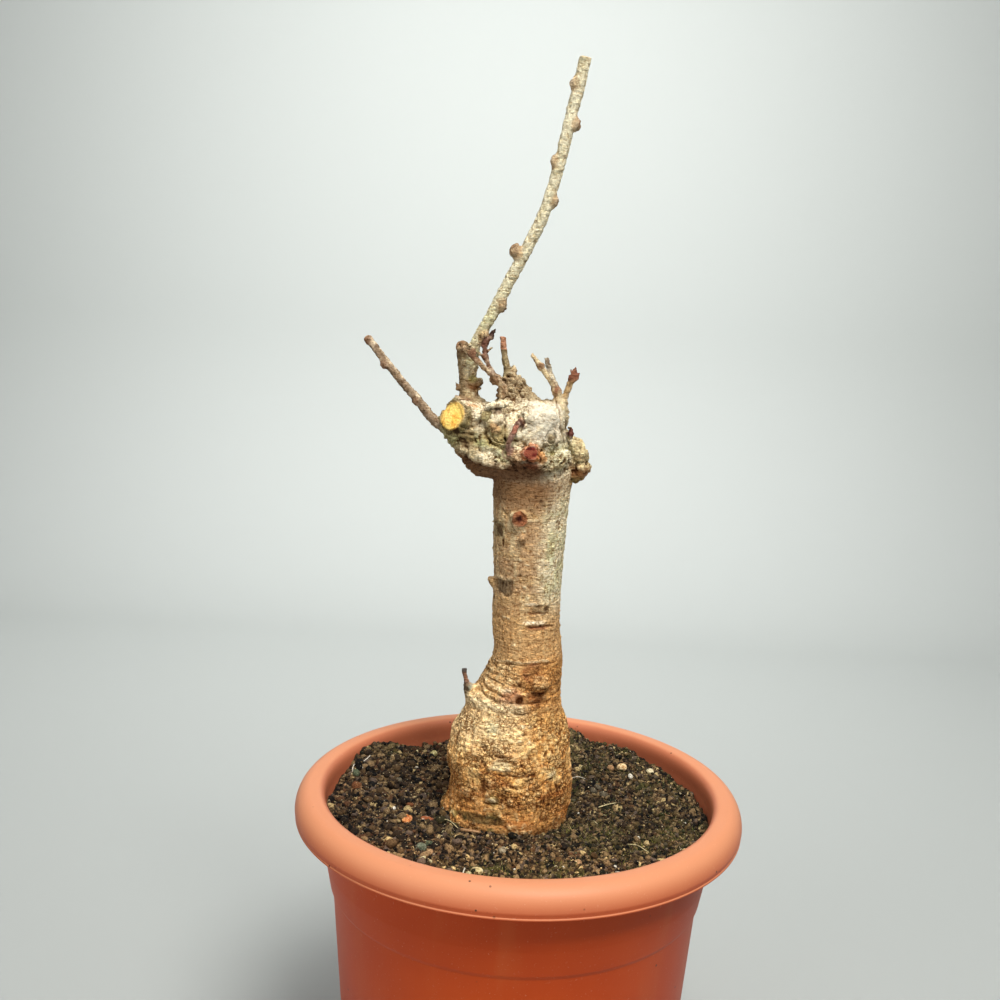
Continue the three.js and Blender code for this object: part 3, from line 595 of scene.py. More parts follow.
def surface_net(values, low, step):
    """Vertices and quads of the surface where the values on a grid change sign."""
    inside = values < 0
    size = np.array(values.shape) - 1
    corners = [(i, j, k) for i in (0, 1) for j in (0, 1) for k in (0, 1)]
    count = np.zeros(size, dtype=np.int8)
    for i, j, k in corners:
        count += inside[i:size[0] + i, j:size[1] + j, k:size[2] + k]
    active = (count > 0) & (count < 8)
    place = np.argwhere(active)
    number = np.full(size, -1, dtype=np.int32)
    number[active] = np.arange(len(place))
    total = np.zeros((len(place), 3))
    hits = np.zeros(len(place))
    for a in corners:
        for axis in range(3):
            if a[axis]:
                continue
            b = np.array(a) + np.eye(3, dtype=int)[axis]
            va = values[tuple((place + a).T)]
            vb = values[tuple((place + b).T)]
            crossing = (va < 0) != (vb < 0)
            t = np.where(crossing, va / np.where(crossing, va - vb, 1), 0)
            total += np.where(crossing[:, None], np.array(a) + t[:, None] * (b - np.array(a)), 0)
            hits += crossing
    vertices = low + step * (place + total / hits[:, None])
    quads = []
    for axis in range(3):
        u, v = (axis + 1) % 3, (axis + 2) % 3
        first = [slice(1, -1)] * 3
        second = [slice(1, -1)] * 3
        first[axis] = slice(0, -1)
        second[axis] = slice(1, None)
        change = inside[tuple(first)] != inside[tuple(second)]
        edge = np.argwhere(change)
        edge += 1 - np.eye(3, dtype=int)[axis]
        outward = inside[tuple(edge.T)]
        corner = []
        for du, dv in ((1, 1), (0, 1), (0, 0), (1, 0)):
            cell = edge.copy()
            cell[:, u] -= du
            cell[:, v] -= dv
            corner.append(number[tuple(cell.T)])
        quad = np.stack(corner, 1)
        quad[~outward] = quad[~outward][:, ::-1]
        quads.append(quad)
    return vertices, np.concatenate(quads)


def mesh_field(function, low, high, step):
    """Mesh a distance field, looking closely only where a coarse grid finds the surface near."""
    coarse = step * COARSE
    count = np.ceil((np.asarray(high) - low) / coarse).astype(int)
    axes = [low[k] + coarse * (np.arange(count[k]) + 0.5) for k in range(3)]
    centres = np.stack(np.meshgrid(*axes, indexing="ij"), -1).reshape(-1, 3)
    rough = function(centres).reshape(count)
    values = np.repeat(np.repeat(np.repeat(rough, COARSE, 0), COARSE, 1), COARSE, 2).astype(np.float32)
    close = np.abs(rough) < coarse * 0.9 + 2.0
    offsets = np.stack(np.meshgrid(*[np.arange(COARSE)] * 3, indexing="ij"), -1).reshape(-1, 3)
    fine = (np.argwhere(close)[:, None, :] * COARSE + offsets).reshape(-1, 3)
    for part in np.array_split(fine, max(1, len(fine) // 400000)):
        values[tuple(part.T)] = function(np.asarray(low) + step * part)
    return surface_net(values, np.asarray(low), step)


def vertex_normals(vertices, faces):
    """Average direction of the faces round each vertex."""
    side = np.cross(vertices[faces[:, 2]] - vertices[faces[:, 0]],
                    vertices[faces[:, -1]] - vertices[faces[:, 1]])
    normals = np.zeros_like(vertices)
    for k in range(3):
        for corner in range(faces.shape[1]):
            normals[:, k] += np.bincount(faces[:, corner], side[:, k], len(vertices))
    return normals / np.maximum(np.linalg.norm(normals, axis=1, keepdims=True), 1e-9)


# Bark relief

# Spacing of the folds, the threads in them, the cone's scales, the twigs' rings and the knots
FOLD_PITCH = 5.4
THREAD_PITCH = 1.9
CONE_PITCH = 3.4
RING_PITCH = 9.0
KNOT_SPACING = 19.0
KNOT_RADIUS = 3.4
# The stem's dark hole below the head
HOLE_X, HOLE_Z = -5.6, 381.4
# Marks on the side that faces the viewer: kind, x, z, reach across, reach up, strength
MARKS = [
    ("hole", HOLE_X, HOLE_Z, 2.4, 2.4, 2.0), ("ring", HOLE_X, HOLE_Z, 3.6, 3.4, 0.6),
    ("scar", -17.0, 374.0, 2.8, 4.6, 0.2), ("hole", -14.8, 366.6, 0.8, 3.8, 0.8),
    ("knob", -3.0, 374.4, 1.8, 1.3, 0.8), ("ring", -2.3, 351.6, 1.9, 1.7, 0.7),
    ("knob", -0.6, 355.6, 1.6, 0.8, 0.6), ("knob", -4.8, 358.4, 1.3, 0.9, 0.5),
    ("knob", -1.4, 342.8, 1.1, 1.1, 0.6), ("knob", 0.6, 336.8, 1.2, 1.2, 0.6),
    ("hole", -19.2, 333.4, 0.9, 2.0, 0.6), ("scar", 6.8, 331.8, 2.4, 1.5, 0.8),
    ("scar", 11.2, 330.6, 2.2, 2.6, 0.4), ("hole", 8.3, 320.9, 1.1, 1.0, 0.9),
    ("knob", -12.4, 324.4, 2.0, 0.9, 0.7), ("knob", -9.8, 324.0, 1.1, 0.9, 0.6),
    ("knob", -6.7, 309.6, 1.6, 1.1, 0.7), ("knob", 13.2, 345.0, 1.6, 1.4, 0.4),
    ("hole", -1.5, 278.8, 3.0, 2.8, 2.4), ("ring", -1.5, 278.8, 4.0, 3.6, 0.6),
    ("knob", 0.6, 265.0, 2.2, 1.4, 0.8), ("knob", 4.6, 264.4, 1.4, 1.1, 0.6),
    ("scar", 1.4, 260.8, 2.8, 0.9, 0.8), ("knob", 4.4, 256.6, 1.8, 1.3, 0.8),
    ("knob", -1.0, 257.4, 2.0, 0.8, 0.7), ("hole", 14.6, 249.0, 1.0, 1.8, 0.7),
    ("hole", 18.2, 249.4, 1.0, 1.8, 0.7), ("knob", 17.8, 237.4, 2.4, 1.6, 0.7),
    ("scar", 17.0, 234.6, 2.6, 0.9, 0.7), ("hole", -2.4, 245.6, 2.0, 0.9, 0.7),
    ("scar", 6.0, 236.0, 3.4, 1.0, 0.6), ("scar", 12.0, 231.5, 3.0, 0.9, 0.6),
    ("knob", -14.4, 223.8, 4.0, 1.8, 0.6),
]
# Long scars across the stem's front: x from, x to, z, half height, strength
SLITS = [
    (-1, 6, 333.2, 0.6, -0.7), (0, 13, 328.0, 0.6, 0.35), (0, 11, 322.4, 0.8, -0.9),
    (1, 16, 320.2, 0.6, 0.5), (-15, -4, 248.6, 0.6, 0.8), (-13, -2, 246.2, 0.6, 0.7),
    (-18, -4, 242.4, 1.3, -0.9), (-12, 8, 238.6, 0.7, 0.8), (-20, -8, 221.4, 0.7, 0.7),
]
# Creases and ridges drawn on the front: x, z points, half width, height (below 0 is a crease)
STROKES = [
    ([(-16.2, 384.8), (-13, 383), (-11, 380), (-9.4, 376.4), (-7.2, 374)], 0.55, -1.4),
    ([(-12.0, 385.6), (-11.6, 382), (-10.6, 379)], 0.45, -1.3),
    ([(-9.6, 384), (-9.4, 379.6), (-7, 376.2), (-4.0, 376.4)], 1.0, 1.0),
    ([(-2.4, 380.4), (0, 381), (3.6, 380.6)], 0.8, 0.6),
    ([(-17.6, 344), (-17, 339.6), (-14.2, 337.2), (-10.4, 337.8), (-9.0, 344.6)], 0.7, -1.4),
    ([(-16.6, 346.6), (-13.6, 345.2), (-9.6, 346.4)], 0.8, 0.8),
    ([(-15.8, 344.4), (-15.4, 338.8)], 0.4, -0.5), ([(-14.0, 344.6), (-13.8, 338.4)], 0.4, -0.6),
    ([(-12.2, 344.6), (-12.2, 338.4)], 0.4, -0.5), ([(-10.4, 344.8), (-10.6, 339.2)], 0.4, -0.5),
    ([(-27.4, 434), (-26.8, 428.4), (-24.8, 424.7), (-20.9, 421.1), (-16, 420.2)], 0.75, -1.5),
    ([(-24.2, 431.8), (-22.2, 427), (-18.3, 423.9), (-15.6, 423.4)], 0.6, -1.2),
    ([(-25.6, 430), (-23.6, 426), (-19.6, 422.4), (-16, 421.8)], 0.6, 0.8),
    ([(-24.5, 440.4), (-20.1, 441.2), (-16.3, 440.6)], 0.9, -1.6),
    ([(-24.8, 442.8), (-20, 443.8), (-15, 444.4)], 0.9, 0.9),
    ([(-15.9, 443.9), (-15.5, 433.2), (-15.1, 425)], 0.65, -1.9),
    ([(-13.6, 443.6), (-13.2, 437), (-12.8, 433.4)], 0.6, 0.8),
    ([(-6.4, 438), (-6.2, 434), (-7, 430)], 0.7, -1.1),
    ([(-9.1, 422.7), (-4.9, 425.6), (-0.2, 429.6), (4.4, 433)], 0.9, 1.1),
    ([(-8.4, 425), (-4.6, 427.8), (0, 431.8)], 0.5, -0.8),
    ([(6.2, 427), (7.4, 430.2), (10.6, 430.8)], 0.5, -1.0),
    ([(6.4, 425.6), (9.4, 423.6), (12.8, 424.8)], 0.6, -0.9),
    ([(10.5, 446.5), (13, 441), (14.4, 434), (15.6, 427), (15.2, 421)], 0.8, -0.9),
    ([(17.6, 435.7), (18.8, 425.6), (20, 414.8), (20.8, 410)], 0.8, -1.2),
    ([(-38.6, 417.6), (-31.5, 414.7), (-23.3, 412.3), (-15.1, 411.6)], 1.4, 0.8),
    ([(-37, 414.4), (-31, 411.6), (-23.3, 409.4), (-14, 408.8)], 0.7, -0.9),
    ([(-21, 292.5), (-18.1, 290.7), (-13.3, 291.2), (-8.7, 291), (-2.5, 291.3)], 0.45, -1.1),
    ([(-19.7, 295.2), (-7.9, 298), (3.4, 298.6), (11.8, 298.8), (18, 299)], 0.4, -0.8),
    ([(-17, 297.6), (-7.9, 299.6), (3.4, 300.1), (14, 300.4)], 0.5, 0.5),
    ([(-23, 291.5), (-21, 288.4), (-16.7, 287.8), (-11.4, 287.4), (-6.2, 287.6), (0, 287)], 0.55, -1.3),
    ([(-24.5, 286.7), (-22.4, 283.3), (-18, 281.6), (-12.7, 280.8), (-8.8, 281.6)], 0.5, -1.1),
    ([(-20.4, 286), (-17.5, 284.8), (-11.1, 284.2), (-6.6, 285)], 1.2, 0.9),
    ([(-25.4, 281.4), (-22.6, 279.4), (-18.3, 278.1), (-13.7, 277.4), (-6.9, 277.3), (4.3, 277.2),
      (11.7, 276.3)], 0.6, -1.3),
    ([(-2.3, 288.1), (0.6, 286.1), (4.6, 283), (9.7, 281.7), (14.2, 283.1)], 1.0, -1.3),
    ([(-0.3, 293.7), (3.1, 292.7), (8.1, 293.7), (10.4, 290.6)], 0.8, -1.0),
    ([(-14, 271.8), (-3.8, 271.6), (2.4, 270.6)], 0.5, -0.8),
]


def on_front(n):
    """1 where the surface faces the viewer, 0 where it faces away."""
    return ramp(0.1, -0.3, n[:, 1])


def stroke_distance(p, points):
    """Distance in the x-z plane to a smooth line through the points."""
    line = curve_points(points)
    return chain(p[:, ::2], line, np.zeros(len(line)))


def limb_masks(p):
    """For each limb, 1 on its bark and 0 away from it."""
    masks = {}
    for name, (points, start, end, _, _) in LIMBS.items():
        line = curve_points(points)
        at = near_points(p, line, start, 3)
        masks[name] = np.zeros(len(p))
        if len(at):
            root = np.linalg.norm(line[1] - line[0]) + start
            away = np.linalg.norm(p[at] - line[0], axis=1)
            mask = ramp(2.2, 1.0, limb(p[at], points, start, end))
            masks[name][at] = mask * ramp(0.6 * root, 1.3 * root, away)
    return masks


class Skin:
    """Masks of the plant's regions at each vertex, shared by the relief and the colours."""

    def __init__(self, p, n):
        z = p[:, 2] + 3 * noise(p, 12, 20)
        self.p = p
        self.n = n
        self.front = on_front(n)
        self.limbs = limb_masks(p)
        self.twig = np.zeros(len(p))
        for name in TWIG_TONES:
            self.twig = np.maximum(self.twig, self.limbs[name])
        self.foot = ramp(275, 264, z)
        self.fold = window(271, 300, 5, z)
        self.stem = window(302, 400, 8, z)
        self.side = ramp(0.3, 0.8, np.abs(n[:, 0]))
        self.dome = self.front * ramp(-7, 1, p[:, 0]) * ramp(421, 428, p[:, 2])
        self.flank = ramp(-25, -34, p[:, 0])
        self.cream = np.zeros(len(p))
        self.crest = np.zeros(len(p))
        self.head = ramp(398, 410, z) * (1 - self.twig)
        self.cone = self.limbs["cone"] * (1 - self.twig)
        self.burl = ramp(20.5, 22.5, p[:, 0]) * window(398, 428, 3, p[:, 2])
        self.under = ramp(-0.1, -0.6, n[:, 2]) * ramp(420, 412, p[:, 2]) * self.head
        patchy = ramp(-0.3, 0.3, noise(p, 9, 19))
        self.cracked = (self.foot + 0.8 * self.fold + 0.7 * self.head * (1 - self.dome)) * patchy


def bark(skin):
    """Height of the bark's relief at each vertex, and how dark it is painted there, 0 to 1: the cracks' own
    dark colour and painted shade in the creases and hollows.
    """
    p = skin.p
    x, _, z = p.T
    warp = p + 1.8 * drift(p, 7, 21)
    small = fractal(p, (2.0, 2.0, 2.4), 37, 2)

    lumps = billow(warp, (4.2, 4.2, 3.4), 31)
    fibre = veins(warp, (1.5, 1.5, 9), 35, 0.22, 1)
    near, second, number = cells(warp, (3.6, 3.6, 2.4), 45)
    plate = (number - 0.5) * ramp(0.02, 0.16, second - near)
    layers = veins(warp, (13, 13, 2.6), 39, 0.1) * ramp(0.1, 0.6, noise(p, 11, 41))
    relief = skin.foot * (0.9 * (lumps - 0.55) + 0.35 * small - 0.6 * layers
                          + (1 - 0.7 * skin.side) * plate - (0.25 + 0.4 * skin.side) * fibre)

    bulge = np.exp(-((x - 9) / 8.5) ** 2) * skin.front
    low = ramp(296, 276, z)
    phase = z + (0.15 + 0.3 * low) * np.minimum(x, 5) * skin.front
    phase = phase + 4.5 * bulge * low * np.tanh((z - 288) / 3.5)
    phase = phase + 1.4 * noise(p, (9, 9, 6), 51) + 0.4 * noise(p, 2.6, 53)
    roll = np.abs(np.sin(phase * math.pi / FOLD_PITCH)) ** 0.7
    thin = np.abs(np.sin(phase * math.pi / THREAD_PITCH + 1))
    beads = billow(warp, (2.6, 2.6, 2.0), 57, 2)
    even = 0.6 + 0.4 * noise(p, (12, 12, 5), 55)
    relief += skin.fold * ((0.6 + 0.9 * low) * even * (roll - 0.7) + (0.6 - 0.2 * low) * (thin - 0.6)
                           + 0.5 * (beads - 0.6))

    across = veins(warp, (8, 8, 1.7), 61, 0.13)
    upright = veins(p, (2.0, 2.0, 13), 63, 0.18) * ramp(-0.3, 0.4, noise(p, 13, 65))
    upright *= 0.35 + 0.65 * np.maximum(ramp(4, 15, x), ramp(374, 394, z))
    near, _, number = cells(p, (4.4, 4.4, 3.0), 67)
    lenticel = ramp(0.26, 0.1, near) * ramp(0.5, 0.65, number)
    relief += skin.stem * (0.4 * fractal(p, (3.4, 3.4, 1.6), 68, 2) + 0.15 * small - 0.3 * across
                           - 0.45 * upright + 0.6 * lenticel)

    crumple = billow(warp, 6.6, 71)
    pucker = billow(warp, 2.8, 75, 2)
    near, _, number = cells(warp, 5.0, 77)
    pit = ramp(0.22, 0.08, near) * ramp(0.55, 0.7, number)
    wart = billow(p, 2.6, 78, 1) * skin.flank
    relief += skin.head * (1 - 0.55 * skin.dome) * (1.8 * (crumple - 0.55) + 0.8 * (pucker - 0.55))
    relief += skin.head * (0.3 * small - 0.9 * pit + 0.7 * (wart - 0.5 * skin.flank))
    wrinkles = veins(warp, (6.5, 6.5, 4.2), 79, 0.13)
    relief -= skin.head * (1 - 0.85 * skin.dome) * 0.8 * wrinkles
    relief += skin.burl * (1.1 * (billow(warp, 3.2, 80, 2) - 0.55) - 0.5 * wrinkles)

    turn = ((z + 0.35 * x + 1.3 * noise(p, 6, 81)) / CONE_PITCH) % 1
    scales = 1 - np.abs(2 * turn - 1) ** 1.5
    relief += skin.cone * (1.9 * (scales - 0.62) + 0.9 * (billow(warp, 2.4, 83, 2) - 0.6))
    relief -= skin.cone * 0.8 * veins(warp, (4.5, 4.5, 2.0), 82, 0.14)

    nodes = np.exp(-np.square(np.sin(z * math.pi / RING_PITCH + 2 * noise(p, 15, 84)) / 0.12))
    relief += skin.twig * (0.35 * (billow(p, (1.6, 1.6, 3.4), 85, 1) - 0.6) + 0.2 * small + 0.3 * nodes)
    # Low places of the relief are painted dark: painted shade in the hollows, with the cracks' own dark
    # colour.
    cracks_and_shade = ramp(0.1, 1.2, -relief)
    # The high places are kept as crests, to be painted lighter: painted highlight.
    skin.crest = ramp(0.15, 0.9, relief)
    broad = noise(p, 8, 43)
    relief = relief + (0.7 * skin.foot + 0.25 * skin.stem + 0.8 * skin.head) * broad
    return draw_marks(skin, relief, cracks_and_shade)


def draw_marks(skin, relief, cracks_and_shade):
    """Add the scars, slits, creases and ridges of the front, and a few scattered ones elsewhere."""
    p, front = skin.p, skin.front
    x, _, z = p.T
    edge = 1 + 0.3 * noise(p, 2.6, 91)
    for kind, mark_x, mark_z, wide, high, strength in MARKS:
        away = np.hypot((x - mark_x) / wide, (z - mark_z) / high) * edge
        if kind == "ring":
            relief += strength * np.exp(-((away - 1) / 0.3) ** 2) * front
        elif kind == "knob":
            knob = ramp(1.1, 0.3, away) * front
            relief += strength * knob
            cracks_and_shade = cracks_and_shade * (1 - knob)
            # Knobs are painted cream: their paler bark and painted highlight.
            skin.cream = np.maximum(skin.cream, knob)
        else:
            # Holes and scars are painted dark: painted shade in their pits, with their dark bark.
            pit = ramp(1.0, 0.45, away) * front
            relief = relief - strength * pit
            relief += 0.4 * strength * np.exp(-((away - 1.3) / 0.25) ** 2) * front
            cracks_and_shade = np.maximum(cracks_and_shade, pit * (1.0 if kind == "hole" else 0.7))
    ripple = 0.7 * noise(p, 6, 93)
    for x_from, x_to, height, half, strength in SLITS:
        inside = window(x_from, x_to, 1.5, x) * front
        line = inside * ramp(1.6 * half, 0.3 * half, np.abs(z - height + ripple))
        relief = relief - strength * line
        # Sunk slits are painted dark as painted shade; raised ones lose their dark.
        cracks_and_shade = np.maximum(cracks_and_shade, 0.85 * line) if strength > 0 else cracks_and_shade * (1 - 0.8 * line)
    bent = p + drift(p, 5, 94)
    uneven = 0.7 + 0.3 * noise(p, 4, 98)
    for points, half, height in STROKES:
        heights = [point[1] for point in points]
        if max(heights) < z.min() or min(heights) > z.max():
            continue
        line = np.exp(-np.square(stroke_distance(bent, points) / half)) * front
        line *= uneven
        relief = relief + height * line
        # Creases are painted dark as painted shade.
        if height < 0:
            cracks_and_shade = np.maximum(cracks_and_shade, 0.9 * line)
        else:
            cracks_and_shade = cracks_and_shade * (1 - 0.7 * line)
            # Ridges are painted cream: their paler bark and painted highlight.
            skin.cream = np.maximum(skin.cream, line)
    near, _, number = cells(p, (17, 17, 24), 97)
    away = near * KNOT_SPACING
    knot = ramp(0.75, 0.85, number) * (ramp(-0.2, 0.3, skin.n[:, 1]) * (1 - skin.twig))
    relief += knot * (0.8 * np.exp(-(away - KNOT_RADIUS) ** 2) - 1.2 * ramp(2.6, 0.8, away))
    # The knots' pits are painted dark as painted shade.
    return relief, np.maximum(cracks_and_shade, knot * ramp(2.6, 1.2, away))


# Colours

def linear(red, green, blue):
    """A colour given as 0 to 255 on screen, as the renderer counts light."""
    def channel(value):
        value /= 255
        return value / 12.92 if value <= 0.04045 else ((value + 0.055) / 1.055) ** 2.4
    return (channel(red), channel(green), channel(blue), 1.0)


def paint(tone, mask, red, green, blue, strength=1.0):
    """Lay a colour over the tone where the mask is 1."""
    share = np.clip(mask * strength, 0, 1)[:, None]
    return tone + (np.array(linear(red, green, blue)[:3]) - tone) * share


def coats(tone, rows):
    """Lay colours over the tone in turn; a row is a mask, a colour and its strength."""
    for mask, *colour in rows:
        tone = paint(tone, mask, *colour)
    return tone


def plain(count, *colour):
    """One colour at so many points."""
    return np.tile(np.array(linear(*colour)[:3]), (count, 1))


def spot(p, centre, reach):
    """1 near a point, fading to 0 at its reach."""
    return ramp(reach, 0.6 * reach, np.linalg.norm(p - np.array(centre, dtype=float), axis=1))


def paint_spots(tone, p, spots):
    """Lay round spots of colour over the tone."""
    for centre, reach, colour, strength in spots:
        tone = paint(tone, spot(p, centre, reach), *colour, strength)
    return tone


def paint_plant(skin, cracks_and_shade):
    """Bark colours, and where fresh wood lies bare."""
    p, n = skin.p, skin.n
    x, y, z = p.T
    foot, fold, head, dome = skin.foot, skin.fold, skin.head, skin.dome
    front, crest, burl, cone = skin.front, skin.crest, skin.burl, skin.cone
    broad = noise(p, 13, 101)
    patch = fractal(p, 6, 103, 2)
    light = ramp(-0.2, 0.5, patch)
    streak = fractal(p, (3, 3, 22), 105, 2)
    banded = fractal(p, (16, 16, 4.5), 107, 2)
    speck = ramp(-0.1, 0.5, fractal(p, 2.6, 108, 2))
    rusty = foot * ramp(0.0, 0.6, banded) * ramp(258, 240, z + 4 * patch)
    moss = window(200, 216, 3, z) * ramp(0.1, 0.5, fractal(p, 5, 109, 2)) * ramp(0, -14, x)
    hollow = ramp(1.2, 0.8, np.hypot((x + 20) / 14, (z - 211.5) / 2.6))
    neck = window(388, 412, 7, z)
    green = head * window(407, 426, 5, z) * ramp(-6, -18, x + 4 * patch)
    ledge_bark_and_shade = ramp(0.15, -0.35, n[:, 2]) * window(391, 414, 4, z) * (1 - burl)
    edge = window(14, 19, 1.5, x + patch) * window(424, 446, 4, z) * front
    tone = plain(len(p), 184, 150, 110)
    tone = coats(tone, [
        # Stem
        (ramp(-0.3, 0.5, banded), 192, 160, 112, 0.7),
        (ramp(0.1, 0.6, streak), 216, 196, 154, 0.7),
        (ramp(1, 15, x + 4 * broad) * window(325, 400, 14, z), 232, 222, 190, 0.85),
        (window(8, 22, 4, x) * window(335, 392, 14, z) * light, 168, 172, 118, 0.45),
        (ramp(-8, -17, x) * skin.stem * speck, 226, 196, 150, 0.6),
        (ramp(345, 315, z + 6 * broad), 208, 164, 108, 0.75),
        # Folds above the foot
        (fold, 206, 150, 84, 0.85),
        (fold * ramp(6, -10, x + 4 * patch) * (0.4 + 0.6 * speck), 242, 216, 164, 0.85),
        (spot(p, (5, -23, 294.6), 7.5) * (0.35 + 0.65 * light), 140, 72, 42, 0.7),
        # Painted shade under the fold's bulge, over its red-brown bark.
        (spot(p, (8.5, -24.5, 281.6), 8.0) * ramp(285, 282, z), 128, 60, 32, 0.5),
        (spot(p, (10, -26, 290), 5.5) * (0.4 + 0.6 * speck), 240, 208, 154, 0.6),
        (spot(p, (-6, -25, 279), 8.5), 176, 112, 88, 0.6),
        (window(269, 277, 3, z) * window(-36, 2, 5, x) * front, 244, 224, 180, 0.85),
        # Foot
        (foot, 216, 160, 90, 0.9),
        (foot * light, 242, 204, 134, 0.65),
        (foot * skin.side, 244, 188, 112, 0.35),
        (foot * speck, 252, 224, 162, 0.5),
        (foot * ramp(238, 262, z) * ramp(12, -10, x), 244, 224, 178, 0.6),
        (rusty, 184, 108, 48, 0.7),
        (ramp(236, 212, z + 5 * broad) * (0.5 + 0.5 * speck), 202, 130, 60, 0.7),
        (ramp(212, 204, z + 3 * broad), 140, 98, 54, 0.75),
        (moss, 92, 94, 48, 0.75),
        (spot(p, (-14.4, -37, 223.4), 5.0), 112, 116, 60, 0.6),
        (spot(p, (-18, -31, 264), 7), 200, 200, 164, 0.65),
        (spot(p, (-10, -35, 242), 7) * ramp(240.6, 241.4, z), 238, 222, 176, 0.8),
        (spot(p, (18, -25, 237), 5), 222, 208, 152, 0.6),
        # Painted highlight on the crests of the foot and folds.
        ((foot + 0.6 * fold) * crest, 250, 226, 172, 0.5),
        (hollow * front, 74, 66, 34, 0.8),
        (window(7, 24, 4, x) * window(345, 376, 8, z) * speck, 212, 210, 174, 0.7),
        # Neck and head
        # The neck under the head is painted dark brown: its brown bark and painted shade from the head
        # above.
        (neck * ramp(22, 4, x + 4 * patch), 132, 96, 62, 0.85),
        (head * (0.75 + 0.25 * light), 236, 226, 196),
        (head * ramp(0.2, 0.6, patch) * ramp(0, 0.5, broad), 190, 172, 124, 0.6),
        (head * (1 - dome) * speck * light, 176, 156, 108, 0.4),
        (dome, 214, 208, 192, 0.6),
        # Painted highlight on the head's crests.
        (head * (1 - dome) * crest, 244, 238, 212, 0.45),
        (head * ramp(-25, -34, x + 3 * broad) * ramp(440, 430, z), 160, 140, 96, 0.75),
        (green * ramp(-0.4, 0.3, broad), 156, 160, 94, 0.75),
        (head * spot(p, (-21, -27, 428), 9.5), 170, 148, 90, 0.75),
        (head * window(6, 20, 4, x) * window(410, 424, 4, z), 200, 198, 156, 0.6),
        (head * window(3, 16, 3, x) * window(415, 421, 3, z) * speck, 158, 148, 78, 0.7),
        (head * ramp(442, 447, z) * ramp(-14, -6, y), 156, 134, 90, 0.7),
        (head * ramp(13, 18, x) * ramp(-8, 0, y), 160, 140, 96, 0.65),
        (head * ramp(6, 18, y), 180, 156, 110, 0.6),
        # The head's underside is painted dark brown on the left, as its brown bark and painted shade under
        # the overhang, and paler on the right.
        (skin.under * ramp(9, 1, x + 3 * patch), 140, 96, 60, 0.9),
        (skin.under * ramp(1, 9, x + 3 * patch), 206, 190, 148, 0.75),
        # Downward faces under the head are painted dark brown: their bark and painted shade.
        (ledge_bark_and_shade * ramp(12, 2, x + 3 * patch), 116, 80, 50, 0.85),
        (edge * (0.5 + 0.5 * speck), 168, 148, 100, 0.75),
    ])
    tone = paint_spots(tone, p, HEAD_SPOTS)
    tone = coats(tone, [
        (burl, 182, 162, 116, 0.8),
        # Painted highlight on the burl's crests.
        (burl * crest, 226, 214, 168, 0.8),
        (burl * ramp(412, 406, z + 2 * patch), 164, 104, 58, 0.8),
        (burl * window(399, 404, 2, z), 150, 144, 92, 0.6),
        (cone, 158, 136, 104, 0.85),
        # Painted highlight on the cone's scales.
        (cone * crest * light, 226, 212, 176, 0.7),
        (cone * ramp(-14, -20, x), 142, 112, 80, 0.7),
        # Cream on the knobs and ridges: their paler bark and painted highlight.
        (skin.cream, 244, 230, 190, 0.65),
    ])
    return paint_twigs(skin, tone, cracks_and_shade)


def paint_twigs(skin, tone, cracks_and_shade):
    """Colours of the twigs, buds and small marks."""
    p = skin.p
    x, _, z = p.T
    knots = np.zeros(len(p))
    for bud_x, bud_y, bud_z, radius, stretch in BUDS:
        if bud_z < TWIG_BUDS_ABOVE:
            continue
        away = np.linalg.norm((p - (bud_x, bud_y, bud_z)) / (1, 1, stretch), axis=1)
        knots = np.maximum(knots, ramp(1.5 * radius, 0.9 * radius, away))
    grain = ramp(-0.1, 0.45, fractal(p, (2.2, 2.2, 5), 111, 2))
    limbs = skin.limbs
    shoot, peg, front = limbs["long shoot"], limbs["peg"], skin.front
    lit = ramp(0.2, 0.8, skin.n[:, 0] + 0.4 * skin.n[:, 2]) * skin.twig
    blotch = ramp(0.3, 0.55, fractal(p, (3, 3, 4), 113, 2)) * skin.twig * (1 - shoot)
    low_shoot = ramp(520, 480, z)
    for name, (base, second, share) in TWIG_TONES.items():
        tone = paint(tone, limbs[name], *base)
        tone = paint(tone, limbs[name] * grain, *second, share)
    tone = coats(tone, [
        (shoot * low_shoot * (1 - grain), 178, 178, 128, 0.6),
        # Painted shade on the thick stub's left side.
        (limbs["thick stub"] * ramp(-38, -42, x + 0.09 * (z - 450)), 116, 92, 64, 0.6),
        (lit * (0.4 + 0.6 * grain), 232, 220, 190, 0.45),
        (blotch, 92, 66, 44, 0.7),
        (knots * shoot, 168, 132, 92, 0.75),
        (knots * (1 - shoot) * (0.5 + 0.5 * grain), 128, 86, 58, 0.8),
        (peg * ramp(472.5, 473.5, z), 188, 136, 106, 0.95),
        (peg * window(462.5 - 0.6, 462.5 + 0.6, 0.4, z), 92, 72, 44, 0.8),
        (peg * window(472.5 - 0.6, 472.5 + 0.6, 0.4, z), 92, 72, 44, 0.8),
    ])
    tone = paint_spots(tone, p, TWIG_SPOTS)
    tone = coats(tone, [
        (limbs["foot peg"] * ramp(280, 284, z), 168, 122, 98, 0.85),
        (limbs["foot peg"] * ramp(287.4, 288.6, z), 84, 84, 84, 0.9),
        (window(337.5, 346, 1.2, z) * window(-17, -9.2, 0.8, x) * front, 132, 112, 84, 0.85),
        (window(369, 379, 1.2, z) * window(-21, -14.4, 0.8, x) * front, 148, 130, 94, 0.8),
        (spot(p, (-6.4, -23, 375.6), 4), 226, 206, 166, 0.8),
        (window(-1, 10, 2, x) * window(321.8, 323.6, 0.7, z) * front, 244, 230, 200, 0.85),
        (window(0, 6, 1.5, x) * window(332.6, 334, 0.6, z) * front, 244, 230, 200, 0.7),
        (window(1, 12, 2, x) * window(318.6, 321, 0.6, z) * front, 150, 84, 52, 0.7),
        (window(3, 13, 1.5, x) * window(328.6, 333, 1, z) * front, 136, 110, 72, 0.6),
    ])
    return paint_cuts(skin, tone, cracks_and_shade)


